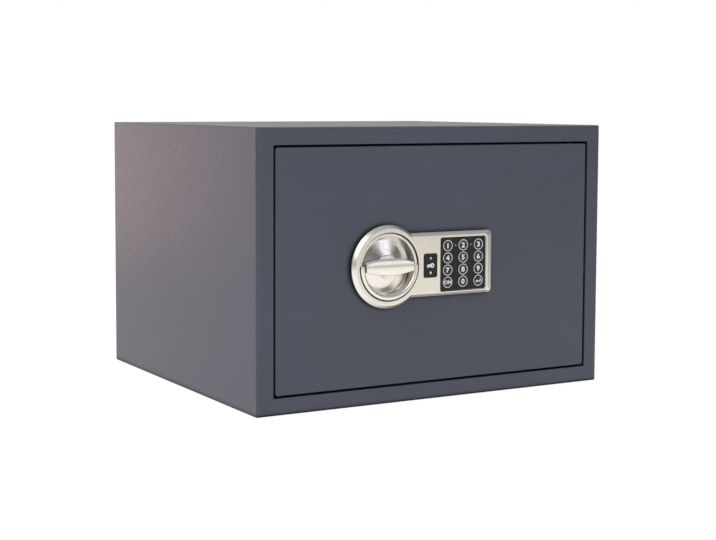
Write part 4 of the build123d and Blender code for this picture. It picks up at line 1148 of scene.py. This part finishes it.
class SAFE_OT_door_back(bpy.types.Operator):
    """Makes the cross-recess screws, the ribs of the battery lid and the turns of the solenoid's coil"""

    bl_idname = "safe.door_back"
    bl_label = "Back of the door"

    def execute(self, context):
        grids = grid_tree()
        self.screws(grids)
        self.ribs(grids)
        self.coil()
        return {"FINISHED"}

    def repeated(self, grids, mesh, **grid):
        """A part made at the origin and repeated on a grid, as one mesh."""
        part = linked("part", as_mesh(mesh, "part"))
        data = grown(grids, Part=part, **grid)
        source = part.data
        bpy.data.objects.remove(part)
        bpy.data.meshes.remove(source)
        return data

    def screws(self, grids):
        low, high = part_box("cover_screws")
        head_radius, head_height, crown_radius, crown_edge = 3.5 * MM, 2 * MM, 2.4 * MM, 0.9 * MM
        shank_radius, shank_end, side_share = 1.9 * MM, low.y - high.y, 0.45
        recess_depth, taper = 1.5 * MM, 0.45
        # One arm of the cross recess, in millimetres: its end, and the inner corner beside it.
        arm = ((1.9, -0.45), (1.9, 0.45), (0.5, 0.5))
        shank = [(0, shank_end), (shank_radius, shank_end), (shank_radius, -head_height)]
        head = [(head_radius, -head_height), (head_radius, -head_height * side_share), (crown_radius, 0)]
        mesh = bmesh.new()
        rim = turned(mesh, ORIGIN, shank + soften(head, crown_edge), steps=48)[1]
        cross = []
        for quarter in range(4):
            turn = Matrix.Rotation(quarter * TURN / 4, 2)
            cross += [turn @ Vector(corner) * MM for corner in arm]
        tapered = [corner * taper for corner in cross]
        top, bottom = skin(mesh, [loop_at(mesh, ORIGIN, cross, 0), loop_at(mesh, ORIGIN, tapered, -recess_depth)])
        fill(mesh, rim, top)
        fill(mesh, bottom)
        data = self.repeated(
            grids,
            mesh,
            Centre=((low.x + high.x) / 2, high.y, (low.z + high.z) / 2),
            Width=high.x - low.x - 2 * head_radius,
            Height=high.z - low.z - 2 * head_radius,
            Columns=2,
            Rows=2,
            Finish=FINISHES["zinc"],
        )
        placed(data, "cover_cross_screws", FINISHES["zinc"], "door", ["cover_screws"])

    def ribs(self, grids):
        low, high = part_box("battery_lid")
        length, width, corner = 30 * MM, 1.6 * MM, 0.75 * MM
        sunk, rise, top_inset, edge = 0.3 * MM, 0.5 * MM, 0.7 * MM, 0.4 * MM
        height_share, span, count = 0.24, 16 * MM, 6

        def outline(inset):
            return rounded_box(length - 2 * inset, width - 2 * inset, corner - inset)

        mesh = bmesh.new()
        side = soften([(0, -sunk), (0, rise), (top_inset, rise)], edge)
        block(mesh, [drawn(mesh, ORIGIN, outline, side)])
        data = self.repeated(
            grids,
            mesh,
            Centre=((low.x + high.x) / 2, high.y, low.z + height_share * (high.z - low.z)),
            Width=0,
            Height=span,
            Columns=1,
            Rows=count,
            Finish=FINISHES["case"],
        )
        placed(data, "battery_lid_ribs", FINISHES["case"], "battery_lid")

    def coil(self):
        low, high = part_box("solenoid_coil")
        wire = 0.3 * MM
        data = grown(
            winding_tree(),
            Foot=((low.x + high.x) / 2, (low.y + high.y) / 2, low.z + wire),
            Radius=(high.x - low.x) / 2,
            Wire_radius=wire,
            Pitch=(0, 0, 2 * wire),
            Turns=int((high.z - low.z) / (2 * wire)),
            Finish=FINISHES["copper"],
        )
        placed(data, "solenoid_wire", FINISHES["copper"], "door")


class SAFE_PT_sidebar(bpy.types.Panel):
    """Lists the steps that dress the safe, and their settings"""

    bl_idname = "SAFE_PT_sidebar"
    bl_label = "Small Safe"
    bl_space_type = "VIEW_3D"
    bl_region_type = "UI"
    bl_category = "Safe"

    def draw(self, context):
        for settings in ("safe_stage", "safe_finishes", "safe_lock", "safe_keypad"):
            group = getattr(context.scene, settings)
            box = self.layout.box()
            for name in group.__annotations__:
                box.prop(group, name)
        for step in STEPS:
            self.layout.operator(step.bl_idname)


STEPS = (
    SAFE_OT_stage,
    SAFE_OT_finishes,
    SAFE_OT_lock_plate,
    SAFE_OT_knob,
    SAFE_OT_keypad,
    SAFE_OT_key_cover,
    SAFE_OT_door_back,
)
SETTINGS = {
    "safe_finishes": SafeFinishes,
    "safe_lock": SafeLockSizes,
    "safe_keypad": SafeKeypadSizes,
    "safe_stage": SafeStageSizes,
}


def register():
    for made in (*SETTINGS.values(), *STEPS, SAFE_PT_sidebar):
        bpy.utils.register_class(made)
    for name, group in SETTINGS.items():
        setattr(bpy.types.Scene, name, bpy.props.PointerProperty(type=group))


def unregister():
    for name in SETTINGS:
        delattr(bpy.types.Scene, name)
    for made in (SAFE_PT_sidebar, *STEPS[::-1], *list(SETTINGS.values())[::-1]):
        bpy.utils.unregister_class(made)


def main():
    """Registers the classes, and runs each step."""
    register()
    bpy.ops.safe.stage()
    bpy.ops.safe.finishes()
    bpy.ops.safe.lock_plate()
    bpy.ops.safe.knob()
    bpy.ops.safe.keypad()
    bpy.ops.safe.key_cover()
    bpy.ops.safe.door_back()


if __name__ == "__main__":
    main()
